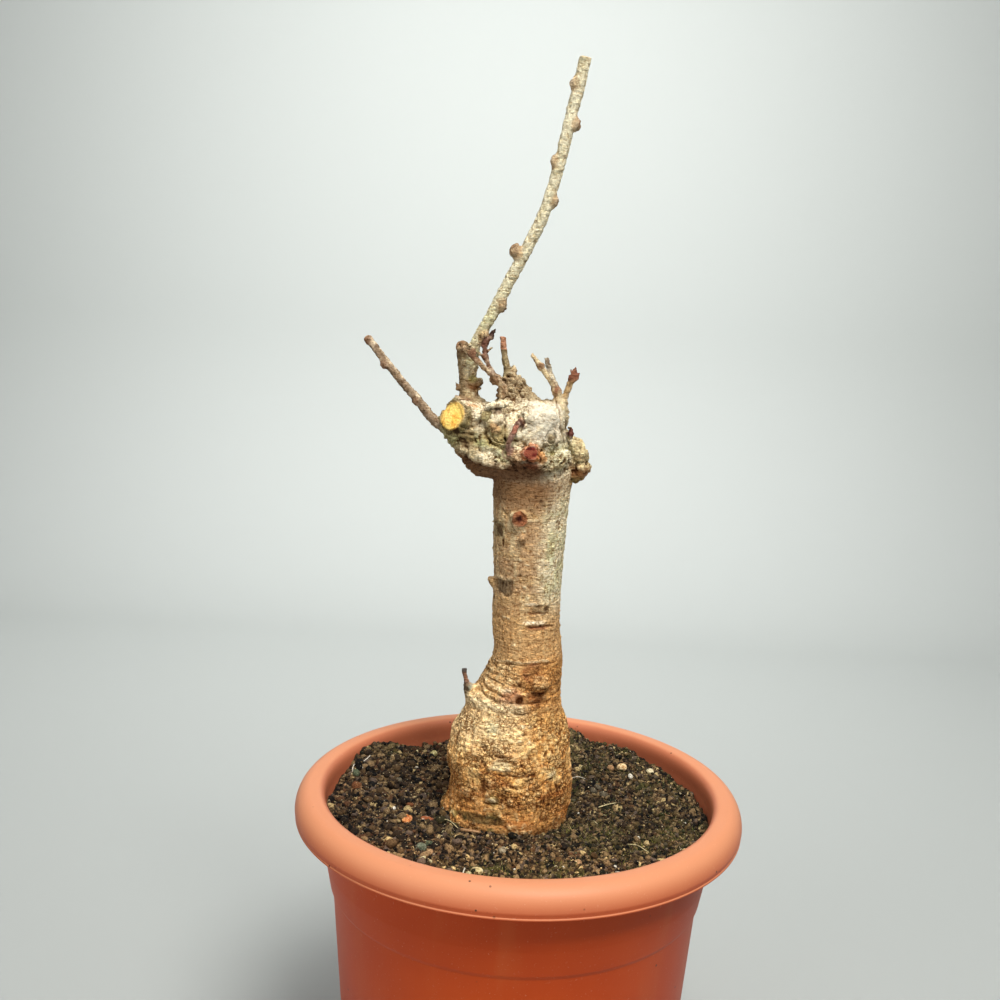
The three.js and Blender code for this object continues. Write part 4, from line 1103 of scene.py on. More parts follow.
def paint_cuts(skin, tone, cracks_and_shade):
    """Sawn and broken ends, whose wood shows."""
    p, n = skin.p, skin.n
    wood = np.zeros(len(p))
    for name, reach, first, second in (
        ("sawn stub", 8.0, (255, 222, 124), (250, 184, 74)),
        ("long shoot", 3.1, (206, 160, 106), (150, 96, 60)),
        ("face stub", 3.9, (120, 40, 32), (74, 22, 20)),
        ("thick stub", 3.3, (196, 180, 152), (108, 78, 56)),
        ("left twig", 1.9, (190, 160, 130), (150, 112, 84)),
    ):
        centre, ahead = cut_end(LIMBS[name][0])
        away = np.linalg.norm(p - centre, axis=1)
        on = ramp(reach + 0.5, reach - 0.5, away) * ramp(0.55, 0.75, n @ ahead)
        if name == "sawn stub":
            rim = ramp(reach + 2.6, reach + 1.6, away) * (1 - on)
            tone = paint(tone, rim, 118, 104, 58, 0.8)
        if name == "face stub":
            collar = ramp(reach + 3.0, reach + 1.0, away) * (1 - on)
            tone = paint(tone, collar, 196, 116, 66, 0.8)
        tone = paint(tone, on, *first)
        tone = paint(tone, on * ramp(0.0, 0.5, fractal(p, 3.4, 121, 2)), *second, 0.7)
        if name == "face stub":
            tone = paint(tone, on * ramp(0.1, 0.5, noise(p, 1.9, 127)), 190, 108, 80, 0.6)
        if name == "sawn stub":
            rings = ramp(0.2, 0.9, np.sin(away * 3.4 + 1.5 * noise(p, 4, 123)))
            tone = paint(tone, on * rings, 238, 160, 60, 0.4)
            streak = ramp(0.3, 0.6, noise(p, (1.4, 1.4, 6), 125)) * ramp(1.0, 4.0, away)
            tone = paint(tone, on * streak, 206, 132, 50, 0.55)
            tone = paint(tone, on * spot(p, centre, 2.0), 232, 140, 50, 0.7)
            tone = paint(tone, on * ramp(reach - 1.2, reach, away), 170, 118, 44, 0.6)
        wood = np.maximum(wood, on)
    away = np.hypot(p[:, 0] - HOLE_X, p[:, 2] - HOLE_Z)
    tone = paint(tone, ramp(4.4, 3.2, away) * skin.front, 150, 84, 50, 0.85)
    # The hole's centre is painted near black: painted shade in the hole, over its red-brown wood.
    hole = ramp(2.6, 1.9, away) * skin.front
    tone = paint(tone, hole, 70, 26, 18, 0.95)
    cracks_and_shade = cracks_and_shade * (1 - np.maximum(wood, 0.7 * hole))
    return tone, cracks_and_shade, wood


# Meshes

def add_mesh(name, vertices, faces, smooth=True, tone=None, skin=None):
    """Make an object from points in millimetres; tone and skin are values at each point."""
    mesh = bpy.data.meshes.new(name)
    faces = np.asarray(faces)
    mesh.vertices.add(len(vertices))
    mesh.vertices.foreach_set("co", (np.asarray(vertices) * MM).astype(np.float32).ravel())
    mesh.loops.add(faces.size)
    mesh.loops.foreach_set("vertex_index", faces.astype(np.int32).ravel())
    mesh.polygons.add(len(faces))
    mesh.polygons.foreach_set("loop_start", np.arange(0, faces.size, faces.shape[1], dtype=np.int32))
    mesh.polygons.foreach_set("use_smooth", np.full(len(faces), smooth))
    mesh.update(calc_edges=True)
    mesh.validate()
    if tone is not None:
        for key, values in (("tone", tone), ("skin", np.zeros((len(tone), 1)) if skin is None else skin)):
            colour = np.ones((len(vertices), 4), dtype=np.float32)
            colour[:, :values.shape[1]] = values
            layer = mesh.color_attributes.new(key, "FLOAT_COLOR", "POINT")
            layer.data.foreach_set("color", colour.ravel())
    obj = bpy.data.objects.new(name, mesh)
    bpy.context.scene.collection.objects.link(obj)
    return obj


def dress(obj, material, slot, *nodes):
    """Give a piece its material and its body, and hide the CAD nodes that it stands for; the slot is not
    used.
    """
    obj.data.materials.clear()
    obj.data.materials.append(material)
    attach(obj, "root")
    if nodes:
        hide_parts(*nodes)
    return obj


def bark_mesh(name, low, high, step, bottom, top):
    """Mesh the plant between two heights, with bark relief and colours."""
    def clipped(p):
        d = plant_field(p)
        return np.maximum(np.maximum(d, bottom - p[:, 2]), p[:, 2] - top)

    vertices, quads = mesh_field(clipped, low, high, step)
    normals = vertex_normals(vertices, quads)
    skin = Skin(vertices, normals)
    relief, cracks_and_shade = bark(skin)
    tone, cracks_and_shade, wood = paint_plant(skin, cracks_and_shade)
    flat = (vertices[:, 2] < bottom + 0.7) | (vertices[:, 2] > top - 0.7)
    relief = np.where(flat, 0, relief * (1 - wood))
    moved = vertices + normals * relief[:, None]
    grain = 1 - 0.15 * skin.twig - 0.25 * skin.head - 0.25 * skin.dome - 0.1 * skin.stem
    masks = np.stack([cracks_and_shade, grain * (1 - 0.8 * wood), skin.side, skin.cracked * (1 - wood)], 1)
    return add_mesh(name, moved, quads, True, tone, masks)


def build_plant(material):
    head = bark_mesh("baobab_head", (-101, -40, NECK_LOW - 2), (36, 36, PLANT_TOP + 3),
                     HEAD_VOXEL, NECK_LOW, PLANT_TOP)
    stem = bark_mesh("baobab_stem", (-50, -45, TRUNK_BOTTOM - 3), (36, 41, NECK_HIGH + 2),
                     TRUNK_VOXEL, TRUNK_BOTTOM, NECK_HIGH)
    for piece in (head, stem):
        dress(piece, material, "bark", "baobab")


# Pot

def pot_inside(height):
    """Inner radius of the pot's wall at a height."""
    return float(np.interp(
        height,
        [0, STEP_HEIGHT, STEP_HEIGHT + STEP_RISE, NECK_HEIGHT, POT_HEIGHT - RIM_DROP],
        [BASE_RADIUS - WALL, STEP_RADIUS - WALL, BAND_RADIUS - WALL, NECK_RADIUS - WALL,
         RIM_INNER_RADIUS]))


def rounded(points, radius, steps=4):
    """Round the corners of a closed outline."""
    points = np.asarray(points, dtype=float)
    out = []
    for before, corner, after in zip(np.roll(points, 1, 0), points, np.roll(points, -1, 0)):
        a, b = before - corner, after - corner
        la, lb = np.linalg.norm(a), np.linalg.norm(b)
        r = min(radius, 0.45 * la, 0.45 * lb)
        start, end = corner + a / la * r, corner + b / lb * r
        for t in np.linspace(0, 1, steps):
            out.append((1 - t) ** 2 * start + 2 * t * (1 - t) * corner + t ** 2 * end)
    return np.array(out)


def spin(outline, sides):
    """Revolve a closed outline of radius and height about the Z axis."""
    turn = np.linspace(0, 2 * np.pi, sides, endpoint=False)
    rings = len(outline)
    vertices = np.stack([
        np.outer(np.cos(turn), outline[:, 0]),
        np.outer(np.sin(turn), outline[:, 0]),
        np.tile(outline[:, 1], (sides, 1)),
    ], -1).reshape(-1, 3)
    a = np.arange(sides)[:, None] * rings + np.arange(rings)
    b = np.roll(a, -1, 0)
    quads = np.stack([a, b, np.roll(b, -1, 1), np.roll(a, -1, 1)], -1).reshape(-1, 4)
    return vertices, quads


def pot_outline():
    """Section of the pot from the middle of its floor out, up over the rim and down inside."""
    middle = (RIM_RADIUS + RIM_INNER_RADIUS) / 2
    half = (RIM_RADIUS - RIM_INNER_RADIUS) / 2
    rim = POT_HEIGHT - RIM_DROP
    floor_top = FOOT_HEIGHT + FLOOR_THICKNESS

    def arch(inset, count, start, end):
        turn = np.linspace(start, end, count)
        across, up = np.cos(turn), np.maximum(np.sin(turn), 0)
        power = np.where(across < 0, RIM_SQUARENESS, 1)
        across = np.sign(across) * np.abs(across) ** power
        return list(zip(middle + (half - inset) * across, rim + (RIM_DROP - inset) * up ** power))

    lip = rim - LIP_DROP
    return [
        (0.01, FOOT_HEIGHT),
        (BASE_RADIUS - FOOT_WIDTH - 1, FOOT_HEIGHT),
        (BASE_RADIUS - FOOT_WIDTH, 0),
        (BASE_RADIUS - 1.2, 0),
        (BASE_RADIUS, 1.2),
        (STEP_RADIUS, STEP_HEIGHT),
        (BAND_RADIUS, STEP_HEIGHT + STEP_RISE),
        (NECK_RADIUS, NECK_HEIGHT),
        *arch(WALL, 12, math.pi, 0),
        (RIM_RADIUS - 1.7, lip),
        (RIM_RADIUS - 0.35, lip),
        (RIM_RADIUS - 0.35, lip + 0.9),
        (RIM_RADIUS - 0.75, lip + 1.3),
        *arch(0, 26, 0, math.pi),
        (pot_inside(NECK_HEIGHT), NECK_HEIGHT),
        (pot_inside(STEP_HEIGHT + STEP_RISE), STEP_HEIGHT + STEP_RISE),
        (pot_inside(STEP_HEIGHT), STEP_HEIGHT),
        (pot_inside(floor_top), floor_top),
        (0.01, floor_top),
    ]


def build_pot(material):
    vertices, quads = spin(rounded(pot_outline(), 0.6, 3), POT_SIDES)
    pot = add_mesh("pot_shell", vertices, quads)
    drill = drain_plugs()
    cut = pot.modifiers.new("drain holes", "BOOLEAN")
    cut.operation = "DIFFERENCE"
    cut.solver = "MANIFOLD"
    cut.object = drill
    graph = bpy.context.evaluated_depsgraph_get()
    made = bpy.data.meshes.new_from_object(pot.evaluated_get(graph))
    pot.modifiers.clear()
    pot.data = made
    bpy.data.objects.remove(drill)
    dress(pot, material, "terracotta_plastic", "pot")


def drain_plugs():
    """Six round plugs where the floor's drain holes go."""
    vertices, faces = [], []
    outline = np.array([(0.01, -2), (DRAIN_RADIUS, -2), (DRAIN_RADIUS, 12), (0.01, 12)])
    for i in range(DRAIN_HOLES):
        turn = 2 * math.pi * i / DRAIN_HOLES
        plug, quads = spin(outline, 24)
        faces.append(quads + i * len(plug))
        vertices.append(plug + (DRAIN_RING * math.cos(turn), DRAIN_RING * math.sin(turn), 0))
    return add_mesh("drain_plugs", np.concatenate(vertices), np.concatenate(faces), False)


# Soil

SOIL_EDGE = pot_inside(MIX_LEVEL)


def mix_level(x, y):
    """Height of the soil before its crumbs."""
    height = np.full(np.shape(x), MIX_LEVEL)
    for mound_x, mound_y, rise, reach in MOUNDS:
        height = height + rise * np.exp(-((x - mound_x) ** 2 + (y - mound_y) ** 2) / reach ** 2)
    return height + 1.4 * np.sin(x / 8.5 + 1.3 * np.sin(y / 14)) * np.cos(y / 9.5 - x / 23)


def crumb_relief(p):
    """Packed crumbs of three sizes, as a height above the soil's level."""
    relief = np.full(len(p), -3.0)
    for size, lift, seed in CRUMBS:
        bent = p + 0.35 * size * drift(p, size, seed + 7)
        near, _, number = cells(bent, size, seed)
        reach = 0.4 + 0.24 * number
        dome = np.sqrt(np.maximum(0, 1 - (near / reach) ** 2)) * reach * size * 0.75
        relief = np.maximum(relief, dome + (number - 0.75) * lift * 2 - 1.2)
    return relief + 0.35 * fractal(p, 1.7, 231, 2)


def green_patch(x, y):
    """Where the soil carries moss and fine green, 0 to 1."""
    flat = np.stack([x, y, np.zeros_like(x)], 1)
    cover = ramp(-30, 30, x + 0.3 * y + 14 * noise(flat, 26, 241)) * 0.7
    for moss_x, moss_y, reach in GREEN_PATCHES:
        cover = np.maximum(cover, np.exp(-((x - moss_x) ** 2 + (y - moss_y) ** 2) / reach ** 2))
    return np.clip(cover * (0.55 + 0.9 * fractal(flat, 11, 243, 2)), 0, 1)


def soil_tone(x, y, number):
    """Colour of each crumb from its place and its own number, lighter and warmer towards the front as
    painted light.
    """
    green = green_patch(x, y)
    other = (number * 7.31) % 1
    tone = plain(len(x), 54, 42, 31)
    tone = coats(tone, [
        (ramp(0.3, 0.9, other), 106, 84, 58, 0.8),
        (((other > 0.42) & (other < 0.56)).astype(float), 112, 98, 90, 0.75),
        (ramp(0.46, 0.16, number), 14, 11, 10),
        ((number > 0.82).astype(float), 150, 126, 92, 0.8),
        ((number > 0.972).astype(float), 212, 190, 138, 0.85),
        (((other > 0.9) & (number < 0.8)).astype(float), 100, 64, 44, 0.6),
        (green * ramp(0.25, 0.75, other), 76, 82, 42, 0.7),
    ])
    # Crumbs towards the front are painted lighter and warmer: painted light.
    front = ramp(-30, -80, y)[:, None]
    return tone * (np.array((0.8, 0.76, 0.7)) + front * (0.66, 0.52, 0.4))


def build_soil(material):
    """The soil's crumbly top, with plain sides and bottom inside the pot."""
    u = np.linspace(-1, 1, MIX_GRID + 1)
    a, b = np.meshgrid(u, u, indexing="ij")
    wide = np.abs(a) > np.abs(b)
    radius = np.where(wide, a, b)
    ratio = np.divide(np.where(wide, b, a), radius, out=np.zeros_like(a), where=radius != 0)
    turn = np.where(wide, ratio * math.pi / 4, math.pi / 2 - ratio * math.pi / 4)
    edge = pot_inside(MIX_LEVEL + 3) - GAP
    x = edge * radius * np.cos(turn)
    y = edge * radius * np.sin(turn)
    flat = np.stack([x.ravel(), y.ravel(), np.zeros(x.size)], 1)
    relief = crumb_relief(flat)
    top = np.column_stack([flat[:, :2], mix_level(flat[:, 0], flat[:, 1]) + relief])
    index = np.arange(x.size).reshape(x.shape)
    quads = np.stack([index[:-1, :-1], index[1:, :-1], index[1:, 1:], index[:-1, 1:]], -1).reshape(-1, 4)
    border = np.concatenate([index[:-1, 0], index[-1, :-1], index[:0:-1, -1], index[0, :0:-1]])
    floor = FOOT_HEIGHT + FLOOR_THICKNESS + GAP
    vertices, faces = [top], [quads]
    upper = border
    start = len(top)
    for height in (NECK_HEIGHT, STEP_HEIGHT + STEP_RISE, STEP_HEIGHT, floor):
        ring_points = top[border].copy()
        reach = (pot_inside(height) - GAP) / np.linalg.norm(ring_points[:, :2], axis=1)
        ring_points[:, :2] *= reach[:, None]
        ring_points[:, 2] = height
        lower = start + np.arange(len(border))
        faces.append(np.stack([lower, np.roll(lower, -1), np.roll(upper, -1), upper], 1))
        vertices.append(ring_points)
        upper = lower
        start += len(border)
    vertices.append(np.array([[0, 0, floor]]))
    half = upper.reshape(-1, 2)
    faces.append(np.stack([np.full(len(half), start), np.roll(half[:, 0], -1), half[:, 1], half[:, 0]], 1))
    vertices = np.concatenate(vertices)
    tone = plain(len(vertices), 46, 34, 27)
    tone[:len(top)] = soil_tone(flat[:, 0], flat[:, 1], cells(flat, 2.4, 221)[2])
    low = np.zeros((len(vertices), 1))
    # Low places between the crumbs are marked for painted shade.
    low[:len(top), 0] = ramp(0.4, -2.0, relief)
    soil = add_mesh("soil_bed", vertices, np.concatenate(faces), True, tone, low)
    dress(soil, material, "potting_mix", "potting_mix")


def icosphere(divisions):
    """Points and triangles of a ball of radius 1."""
    made = bmesh.new()
    bmesh.ops.create_icosphere(made, subdivisions=divisions, radius=1)
    vertices = np.array([v.co[:] for v in made.verts])
    faces = np.array([[v.index for v in f.verts] for f in made.faces])
    made.free()
    return vertices, faces


def random_turns(rng, count):
    """Random rotation matrices."""
    q = rng.normal(size=(count, 4))
    q /= np.linalg.norm(q, axis=1, keepdims=True)
    w, x, y, z = q.T
    rows = [
        [1 - 2 * (y * y + z * z), 2 * (x * y - z * w), 2 * (x * z + y * w)],
        [2 * (x * y + z * w), 1 - 2 * (x * x + z * z), 2 * (y * z - x * w)],
        [2 * (x * z - y * w), 2 * (y * z + x * w), 1 - 2 * (x * x + y * y)],
    ]
    return np.moveaxis(np.array(rows), 2, 0)


def scatter_places(rng, count, outer):
    """Random places on the soil, away from the trunk."""
    places = np.empty((0, 2))
    while len(places) < count:
        tried = rng.uniform(-outer, outer, (count * 2, 2))
        keep = np.hypot(*tried.T) < outer
        keep &= np.hypot((tried[:, 0] + 8) / 38, (tried[:, 1] + 2) / 37) > 1
        places = np.vstack([places, tried[keep]])
    return places[:count]


def soil_height(x, y):
    """Height of the soil with its crumbs at each place."""
    return mix_level(x, y) + crumb_relief(np.stack([x, y, np.zeros_like(x)], 1))


def scatter(name, rng, places, sizes, divisions, rough, material, tones=None):
    """Many small deformed lumps lying on the soil, as one piece; tones are their own colours."""
    shape, faces = icosphere(divisions)
    count = len(places)
    wobble = 1 + rough * rng.uniform(-1, 1, (count, len(shape)))
    stretch = rng.uniform(0.65, 1.3, (count, 1, 3))
    lumps = shape[None] * wobble[:, :, None] * stretch * sizes[:, None, None]
    lumps = np.einsum("nij,nkj->nki", random_turns(rng, count), lumps)
    lumps[:, :, 2] *= 0.85
    centres = np.column_stack([places, soil_height(*places.T) + sizes * 0.2])
    vertices = (lumps + centres[:, None]).reshape(-1, 3)
    reach = np.hypot(vertices[:, 0], vertices[:, 1])
    limit = SOIL_EDGE - GAP
    vertices[:, :2] *= np.minimum(1, limit / np.maximum(reach, 1e-6))[:, None]
    all_faces = (faces[None] + np.arange(count)[:, None, None] * len(shape)).reshape(-1, 3)
    if tones is None:
        tones = soil_tone(*places.T, rng.random(count))
    tone = np.repeat(tones, len(shape), axis=0)
    piece = add_mesh(name, vertices, all_faces, divisions > 1, tone)
    return dress(piece, material, "potting_mix")


def build_crumbs(material):
    """Loose crumbs on the soil: some larger and rounded, many small and sharp."""
    rng = np.random.default_rng(77)
    outer = SOIL_EDGE - EDGE_CLEAR
    for name, count, low, high, divisions, rough in (
        ("soil_crumbs", 1700, 1.1, 2.5, 2, 0.2),
        ("soil_grains", 8600, 0.5, 1.3, 1, 0.35),
    ):
        places = scatter_places(rng, count, outer)
        sizes = low + (high - low) * rng.random(count) ** 2
        if divisions == 2:
            sizes = sizes * np.where(places[:, 0] < -30, 1.15, 0.85)
        scatter(name, rng, places, sizes, divisions, rough, material)


def build_specks(material):
    """The pale, red and grey bits that stand out on the soil, and more of them at random."""
    rng = np.random.default_rng(55)
    names = [speck[3] for speck in SPECKS]
    names += list(rng.choice(["white", "cream", "tan", "rust", "grey green"], MORE_SPECKS))
    tones = np.array([linear(*BIT_TONES[name])[:3] for name in names])
    more = scatter_places(rng, MORE_SPECKS, SOIL_EDGE - EDGE_CLEAR)
    places = np.vstack([[speck[:2] for speck in SPECKS], more])
    sizes = np.concatenate([[speck[2] for speck in SPECKS], rng.uniform(0.4, 0.8, MORE_SPECKS)])
    scatter("soil_specks", rng, places, sizes, 2, 0.08, material, tones)


def tube(points, start, end, sides=6):
    """Points and triangles of a thin round stalk with closed ends."""
    line = curve_points(points, 3)
    ahead = np.gradient(line, axis=0)
    ahead /= np.linalg.norm(ahead, axis=1, keepdims=True)
    across = np.cross(ahead, (0.1, 0.2, 1.0))
    across /= np.linalg.norm(across, axis=1, keepdims=True)
    above = np.cross(across, ahead)
    turn = np.linspace(0, 2 * math.pi, sides, endpoint=False)
    radii = np.linspace(start, end, len(line))[:, None, None]
    rings = line[:, None] + radii * (np.cos(turn)[:, None] * across[:, None]
                                     + np.sin(turn)[:, None] * above[:, None])
    vertices = np.vstack([rings.reshape(-1, 3), line[:1], line[-1:]])
    k = np.arange(sides)
    after = (k + 1) % sides
    along = np.arange(len(line) - 1)[:, None] * sides
    a = (along + k).ravel()
    b = (along + after).ravel()
    top = (len(line) - 1) * sides
    near = np.stack([np.full(sides, len(vertices) - 2), k, after], 1)
    far = np.stack([np.full(sides, len(vertices) - 1), top + after, top + k], 1)
    faces = np.vstack([np.stack([a, a + sides, b + sides], 1), np.stack([a, b + sides, b], 1), near, far])
    return vertices, faces


def build_stalks(material):
    """Dry stalks and threads lying on the soil: those that show, and short ones at random."""
    rng = np.random.default_rng(33)
    stalks = list(STALKS)
    for x, y in scatter_places(rng, MORE_STALKS, SOIL_EDGE - STALKS_CLEAR):
        turn = rng.uniform(0, 2 * math.pi)
        step = rng.uniform(1, 3) * np.array([math.cos(turn), math.sin(turn)])
        bend = rng.uniform(-1, 1, 2)
        lift = rng.uniform(0.5, 1.8)
        points = [(x - step[0], y - step[1], 0.4), (x + bend[0], y + bend[1], lift),
                  (x + step[0], y + step[1], 0.6)]
        stalks.append((points, rng.uniform(0.12, 0.24), rng.choice(["tan", "cream", "grey"])))
    vertices, faces, tones = [], [], []
    count = 0
    for points, radius, name in stalks:
        points = np.array(points, dtype=float)
        points[:, 2] += mix_level(points[:, 0], points[:, 1])
        made, triangles = tube(points, radius, 0.7 * radius)
        vertices.append(made)
        faces.append(triangles + count)
        tones.append(plain(len(made), *BIT_TONES[name]))
        count += len(made)
    piece = add_mesh("dry_stalks", np.concatenate(vertices), np.concatenate(faces), True,
                     np.concatenate(tones))
    dress(piece, material, "potting_mix")


def build_moss(material):
    """Short pointed blades of moss in tufts on the soil, three-sided, as one piece."""
    rng = np.random.default_rng(91)
    places = scatter_places(rng, MOSS_TRIED, SOIL_EDGE - MOSS_CLEAR)
    keep = rng.random(len(places)) < green_patch(*places.T) ** 2
    places = places[keep][:MOSS_MOST]
    count = len(places)
    height = soil_height(*places.T)
    length = rng.uniform(0.9, 2.4, count)
    width = rng.uniform(0.14, 0.3, count)
    lean = rng.normal(0, 0.5, (count, 2))
    turn = rng.uniform(0, 2 * math.pi, count)
    points = np.empty((count, 4, 3))
    for k in range(3):
        angle = turn + 2 * math.pi * k / 3
        points[:, k, 0] = places[:, 0] + width * np.cos(angle)
        points[:, k, 1] = places[:, 1] + width * np.sin(angle)
        points[:, k, 2] = height - 0.3
    points[:, 3, :2] = places + lean * length[:, None]
    points[:, 3, 2] = height + length
    faces = np.array([(0, 1, 3), (1, 2, 3), (2, 0, 3), (0, 2, 1)])
    all_faces = (faces[None] + 4 * np.arange(count)[:, None, None]).reshape(-1, 3)
    shade = rng.random(count)
    # Blades towards the front are painted yellower and lighter: painted light.
    front_lit = ramp(10, -50, places[:, 1])
    tone = plain(count, 66, 78, 42)
    tone = paint(tone, front_lit, 108, 106, 44)
    tone = paint(tone, shade * (0.3 + 0.7 * front_lit), 164, 156, 78, 0.8)
    tone = paint(tone, (shade > 0.88).astype(float), 196, 182, 120, 0.8)
    tone = paint(tone, (shade < 0.25).astype(float), 42, 50, 28, 0.9)
    piece = add_mesh("moss", points.reshape(-1, 3), all_faces, False, np.repeat(tone, 4, axis=0))
    dress(piece, material, "potting_mix")


# Materials

class Shader:
    """A material and short calls that add linked nodes to it."""

    def __init__(self, name, roughness, specular):
        self.material = bpy.data.materials.new(name)
        self.material.use_nodes = True
        self.tree = self.material.node_tree
        self.surface = self.tree.nodes["Principled BSDF"]
        self.surface.inputs["Roughness"].default_value = roughness
        self.surface.inputs["Specular IOR Level"].default_value = specular
        self.place = self.tree.nodes.new("ShaderNodeTexCoord").outputs["Object"]

    def set(self, socket, value):
        if isinstance(value, bpy.types.NodeSocket):
            self.tree.links.new(value, socket)
        else:
            socket.default_value = value

    def node(self, kind, settings, inputs):
        made = self.tree.nodes.new(kind)
        for key, value in settings.items():
            setattr(made, key, value)
        for key, value in inputs.items():
            self.set(made.inputs[key], value)
        return made

    def stretch(self, scale):
        return self.node("ShaderNodeMapping", {}, {"Vector": self.place, "Scale": scale}).outputs[0]

    def noise(self, scale, detail=3.0, roughness=0.55, vector=None, distortion=0.0):
        made = self.node("ShaderNodeTexNoise", {}, {
            "Vector": vector or self.place, "Scale": scale, "Detail": detail,
            "Roughness": roughness, "Distortion": distortion})
        return made.outputs["Fac"]

    def cells(self, scale, feature="F1", vector=None):
        made = self.node("ShaderNodeTexVoronoi", {"feature": feature}, {
            "Vector": vector or self.place, "Scale": scale})
        return made.outputs["Distance"]

    def span(self, value, low, high, to_low=0.0, to_high=1.0):
        made = self.node("ShaderNodeMapRange", {"interpolation_type": "SMOOTHSTEP"}, {
            "Value": value, "From Min": low, "From Max": high, "To Min": to_low, "To Max": to_high})
        return made.outputs["Result"]

    def math(self, operation, a, b=0.0):
        made = self.node("ShaderNodeMath", {"operation": operation}, {0: a, 1: b})
        return made.outputs[0]

    def times(self, a, b):
        return self.math("MULTIPLY", a, b)

    def mix(self, share, a, b, blend="MIX"):
        made = self.node("ShaderNodeMix", {"data_type": "RGBA", "blend_type": blend}, {})
        self.set(made.inputs[0], share)
        self.set(made.inputs[6], a)
        self.set(made.inputs[7], b)
        return made.outputs[2]

    def shade(self, colour, share, factor):
        """The colour darkened or lightened towards a multiple of itself."""
        return self.mix(share, colour, factor, "MULTIPLY")

    def attribute(self, name):
        return self.node("ShaderNodeAttribute", {"attribute_name": name}, {}).outputs["Color"]

    def split(self, colour):
        return self.node("ShaderNodeSeparateColor", {}, {"Color": colour}).outputs

    def bump(self, height, strength, distance, below=None):
        inputs = {"Height": height, "Strength": strength, "Distance": distance * MM}
        if below:
            inputs["Normal"] = below
        return self.node("ShaderNodeBump", {}, inputs).outputs[0]

    def colour(self, value):
        self.set(self.surface.inputs["Base Color"], value)

    def finish(self, normal):
        self.set(self.surface.inputs["Normal"], normal)
        return self.material


def bark_material():
    s = Shader("papery_bark", 0.8, 0.2)
    cracks_and_shade, grain, side = s.split(s.attribute("skin"))
    cracked = s.node("ShaderNodeAttribute", {"attribute_name": "skin"}, {}).outputs["Alpha"]
    bright = s.split(s.attribute("tone"))[1]
    fine = s.noise(680, 4, 0.6)
    medium = s.noise(400, 4, 0.65)
    flecks = s.noise(1.0, 3, 0.55, s.stretch((430, 430, 850)))
    lines = s.noise(1.0, 4, 0.6, s.stretch((280, 280, 1300)))
    fibres = s.noise(1.0, 4, 0.6, s.stretch((1050, 1050, 160)))
    bent = s.node("ShaderNodeVectorMath", {"operation": "MULTIPLY_ADD"}, {
        0: s.node("ShaderNodeTexNoise", {}, {"Vector": s.place, "Scale": 500.0}).outputs["Color"],
        1: (0.0022, 0.0022, 0.0016), 2: s.place}).outputs[0]
    plates = s.cells(430, "DISTANCE_TO_EDGE", bent)
    colour = s.attribute("tone")
    dark = s.times(s.span(fine, 0.48, 0.34), grain)
    colour = s.shade(colour, dark, (0.46, 0.35, 0.23, 1))
    rule = s.times(s.span(lines, 0.48, 0.36), grain)
    colour = s.shade(colour, rule, (0.52, 0.41, 0.3, 1))
    upright = s.times(s.span(fibres, 0.48, 0.34), s.span(side, 0.0, 1.0, 0.35, 1.0))
    colour = s.shade(colour, s.times(upright, grain), (0.5, 0.38, 0.26, 1))
    crack = s.times(s.span(plates, 0.13, 0.02), cracked)
    colour = s.shade(colour, crack, (0.4, 0.28, 0.18, 1))
    light = s.times(s.span(flecks, 0.52, 0.62), s.span(bright, 0.08, 0.4, 0.4, 1.0))
    colour = s.shade(colour, s.times(light, grain), (1.62, 1.6, 1.52, 1))
    colour = s.shade(colour, s.span(medium, 0.48, 0.32, 0, 0.7), (0.64, 0.53, 0.4, 1))
    # Painted shade in the creases, hollows and holes, with the cracks' own dark colour.
    colour = s.shade(colour, s.span(cracks_and_shade, 0.1, 0.9), (0.26, 0.17, 0.1, 1))
    s.colour(colour)
    height = s.math("ADD", s.times(fine, 0.8), s.times(lines, 0.7))
    height = s.math("ADD", height, s.times(fibres, 0.7))
    height = s.math("ADD", height, medium)
    height = s.math("SUBTRACT", height, s.times(crack, 0.5))
    return s.finish(s.bump(height, 1.0, 0.9))


def pot_material():
    s = Shader("terracotta_plastic", 0.46, 0.18)
    broad = s.noise(14, 3, 0.5)
    streak = s.noise(1.0, 3, 0.55, s.stretch((60, 60, 8)))
    normal = s.node("ShaderNodeTexCoord", {}, {}).outputs["Normal"]
    upward = s.node("ShaderNodeSeparateXYZ", {}, {"Vector": normal}).outputs["Z"]
    height = s.node("ShaderNodeSeparateXYZ", {}, {"Vector": s.place}).outputs["Z"]
    speck = s.cells(160)
    speck_gate = s.noise(45, 2)
    flat = s.node("ShaderNodeVectorMath", {"operation": "MULTIPLY"}, {0: s.place, 1: (1, 1, 0)}).outputs[0]
    outward = s.node("ShaderNodeVectorMath", {"operation": "DOT_PRODUCT"}, {0: normal, 1: flat})
    inward = s.span(outward.outputs["Value"], -0.01, -0.08, 0, 0.8)
    colour = s.mix(s.span(broad, 0.3, 0.7), linear(180, 63, 13), linear(189, 71, 18))
    colour = s.mix(s.span(streak, 0.5, 0.78, 0, 0.25), colour, linear(192, 98, 50))
    # The rim is painted paler, most on its upward faces: partly bleached plastic and partly painted
    # highlight from above.
    bleach_and_highlight = s.times(s.span(upward, -0.4, 0.75, 0.12, 0.84), s.span(height, 0.202, 0.207))
    colour = s.mix(bleach_and_highlight, colour, linear(211, 146, 107))
    colour = s.mix(inward, colour, linear(178, 102, 72))
    dusty = s.times(s.span(s.noise(700, 4, 0.7), 0.62, 0.7), 0.22)
    colour = s.mix(dusty, colour, linear(226, 176, 144))
    dirt = s.times(s.span(speck, 0.14, 0.07), s.span(speck_gate, 0.6, 0.66))
    colour = s.mix(dirt, colour, linear(80, 50, 34))
    s.colour(colour)
    grain = s.noise(1600, 3, 0.6)
    wave = s.noise(30, 2, 0.5)
    under = s.bump(wave, 0.12, 0.6)
    return s.finish(s.bump(grain, 0.25, 0.12, under))


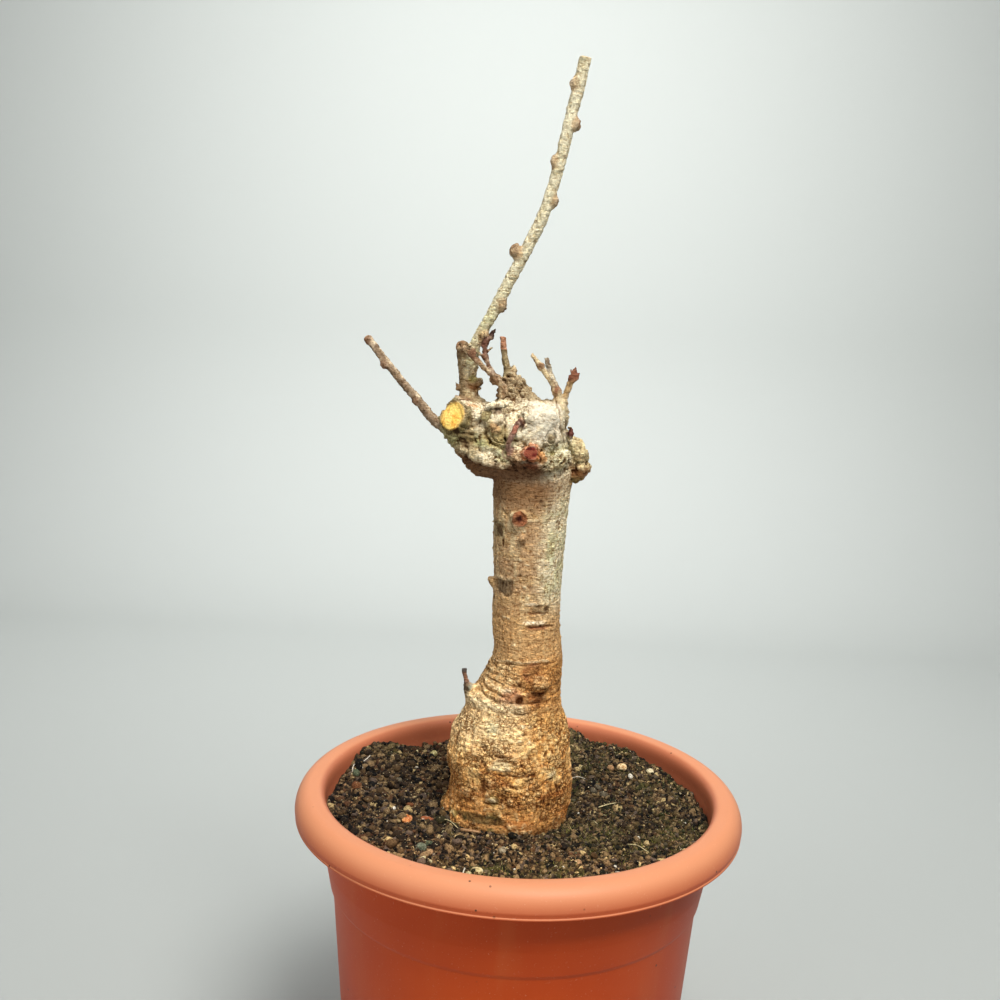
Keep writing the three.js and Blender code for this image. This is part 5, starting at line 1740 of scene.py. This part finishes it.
def soil_material():
    s = Shader("potting_mix", 0.9, 0.2)
    low = s.split(s.attribute("skin"))[0]
    fine = s.noise(1300, 4, 0.7)
    coarse = s.noise(600, 3, 0.6)
    colour = s.attribute("tone")
    colour = s.shade(colour, s.span(fine, 0.52, 0.38), (0.3, 0.26, 0.22, 1))
    colour = s.mix(s.span(coarse, 0.58, 0.7, 0, 0.4), colour, linear(156, 124, 76))
    colour = s.mix(s.span(s.noise(1.0, 2, 0.5, s.stretch((820, 820, 820))), 0.68, 0.72, 0, 0.7),
                   colour, linear(232, 214, 170))
    # Painted shade in the low places between the crumbs.
    colour = s.shade(colour, s.span(low, 0.1, 0.9), (0.16, 0.13, 0.11, 1))
    s.colour(colour)
    return s.finish(s.bump(fine, 1.0, 0.5))


def loose_material(name):
    """The finish of a chip or stone in its own colours, with dark and pale specks."""
    s = Shader(name, 0.85, 0.2)
    fine = s.noise(1400, 4, 0.65)
    coarse = s.noise(500, 3, 0.6)
    colour = s.shade(s.attribute("tone"), s.span(fine, 0.48, 0.34), (0.52, 0.42, 0.32, 1))
    colour = s.mix(s.span(coarse, 0.56, 0.7, 0, 0.4), colour, linear(238, 226, 196))
    s.colour(colour)
    return s.finish(s.bump(fine, 0.8, 0.4))


# Stage

def add_camera():
    """The camera at the photograph's place, turned as it was."""
    pitch, yaw, roll = [math.radians(v) for v in (CAMERA_PITCH, CAMERA_YAW, CAMERA_ROLL)]
    level = Vector((-math.sin(yaw), math.cos(yaw), 0))
    right = Vector((math.cos(yaw), math.sin(yaw), 0))
    forward = level * math.cos(pitch) - Vector((0, 0, math.sin(pitch)))
    down = -level * math.sin(pitch) - Vector((0, 0, math.cos(pitch)))
    across = right * math.cos(roll) - down * math.sin(roll)
    upward = -(right * math.sin(roll) + down * math.cos(roll))
    data = bpy.data.cameras.new("camera")
    data.sensor_width = SENSOR
    data.sensor_fit = "HORIZONTAL"
    data.lens = FOCAL_PIXELS / PHOTO_PIXELS * SENSOR
    data.clip_start = 0.01
    camera = bpy.data.objects.new("camera", data)
    turn = Matrix((across, upward, -forward)).transposed()
    camera.matrix_world = Matrix.Translation(CAMERA_PLACE * MM) @ turn.to_4x4()
    bpy.context.scene.collection.objects.link(camera)
    bpy.context.scene.camera = camera


def add_light(name, place, target, size, power, colour, spread):
    """A square lamp at a place, turned towards its target."""
    data = bpy.data.lights.new(name, "AREA")
    data.shape = "SQUARE"
    data.size = size
    data.energy = power
    data.color = colour
    data.spread = math.radians(spread)
    lamp = bpy.data.objects.new(name, data)
    lamp.location = place
    lamp.rotation_euler = (Vector(target) - Vector(place)).to_track_quat("-Z", "Y").to_euler()
    bpy.context.scene.collection.objects.link(lamp)


def build_stage():
    """A pale floor that curves up behind, soft lights and a pale sky."""
    outline = [(-FLOOR_HALF, 0.0), (FLOOR_DEPTH, 0.0)]
    for i in range(1, FLOOR_STEPS + 1):
        turn = math.pi / 2 * i / FLOOR_STEPS
        outline.append((FLOOR_DEPTH + FLOOR_BEND * math.sin(turn), FLOOR_BEND * (1 - math.cos(turn))))
    outline.append((FLOOR_DEPTH + FLOOR_BEND, FLOOR_RISE))
    vertices = [(side * FLOOR_HALF / MM, y / MM, z / MM) for y, z in outline for side in (-1, 1)]
    faces = [(2 * i, 2 * i + 1, 2 * i + 3, 2 * i + 2) for i in range(len(outline) - 1)]
    floor = add_mesh("floor", np.array(vertices), np.array(faces))
    s = Shader("pale_floor", 0.9, 0.2)
    s.colour(linear(174, 178, 175))
    floor.data.materials.append(s.material)

    world = bpy.data.worlds.new("studio")
    world.use_nodes = True
    world.node_tree.nodes["Background"].inputs["Color"].default_value = (0.86, 0.92, 1.0, 1)
    world.node_tree.nodes["Background"].inputs["Strength"].default_value = 0.1
    bpy.context.scene.world = world
    for light in LIGHTS:
        add_light(*light)
    bpy.context.scene.view_settings.view_transform = "Standard"


def build_loose():
    """Split bark chips and lumpy stones in the places of the plain solids."""
    materials = {slot: loose_material(slot) for slot in ("tan_bark", "red_bark", "pale_grit")}
    ball, faces = icosphere(5)
    for i, (name, (slot, first, second, chip)) in enumerate(LOOSE.items()):
        low, high = [np.array(v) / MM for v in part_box(name)]
        if chip:
            length, width, thick, turn = chip
            lump = np.sign(ball) * np.abs(ball) ** 0.6 * (length / 2, width / 2, thick / 2)
            grain = fractal(lump, (5, 0.9, 0.9), 131 + i, 2)
            lump = lump * (0.94 + 0.1 * noise(lump, 3, 141 + i))[:, None] + ball * (0.3 * grain)[:, None]
            turned = Matrix.Rotation(math.radians(turn), 3, "Z") @ Matrix.Rotation(
                math.radians(CHIP_TILT), 3, "X")
            lump = lump @ np.array(turned).T
        else:
            lump = ball * (high - low) / 2
            grain = fractal(lump, 1.1, 131 + i, 2)
            lump = lump * (0.94 + 0.16 * noise(lump, 2.6, 141 + i) + 0.05 * grain)[:, None]
        tone = plain(len(lump), *second)
        tone = paint(tone, ramp(-0.3, 0.3, grain), *first)
        piece = add_mesh(name + "_look", lump + (low + high) / 2, faces, True, tone)
        dress(piece, materials[slot], slot, name)


add_camera()
build_stage()
build_plant(bark_material())
build_pot(pot_material())
SOIL = soil_material()
build_soil(SOIL)
build_crumbs(SOIL)
build_specks(SOIL)
build_stalks(SOIL)
build_moss(SOIL)
build_loose()
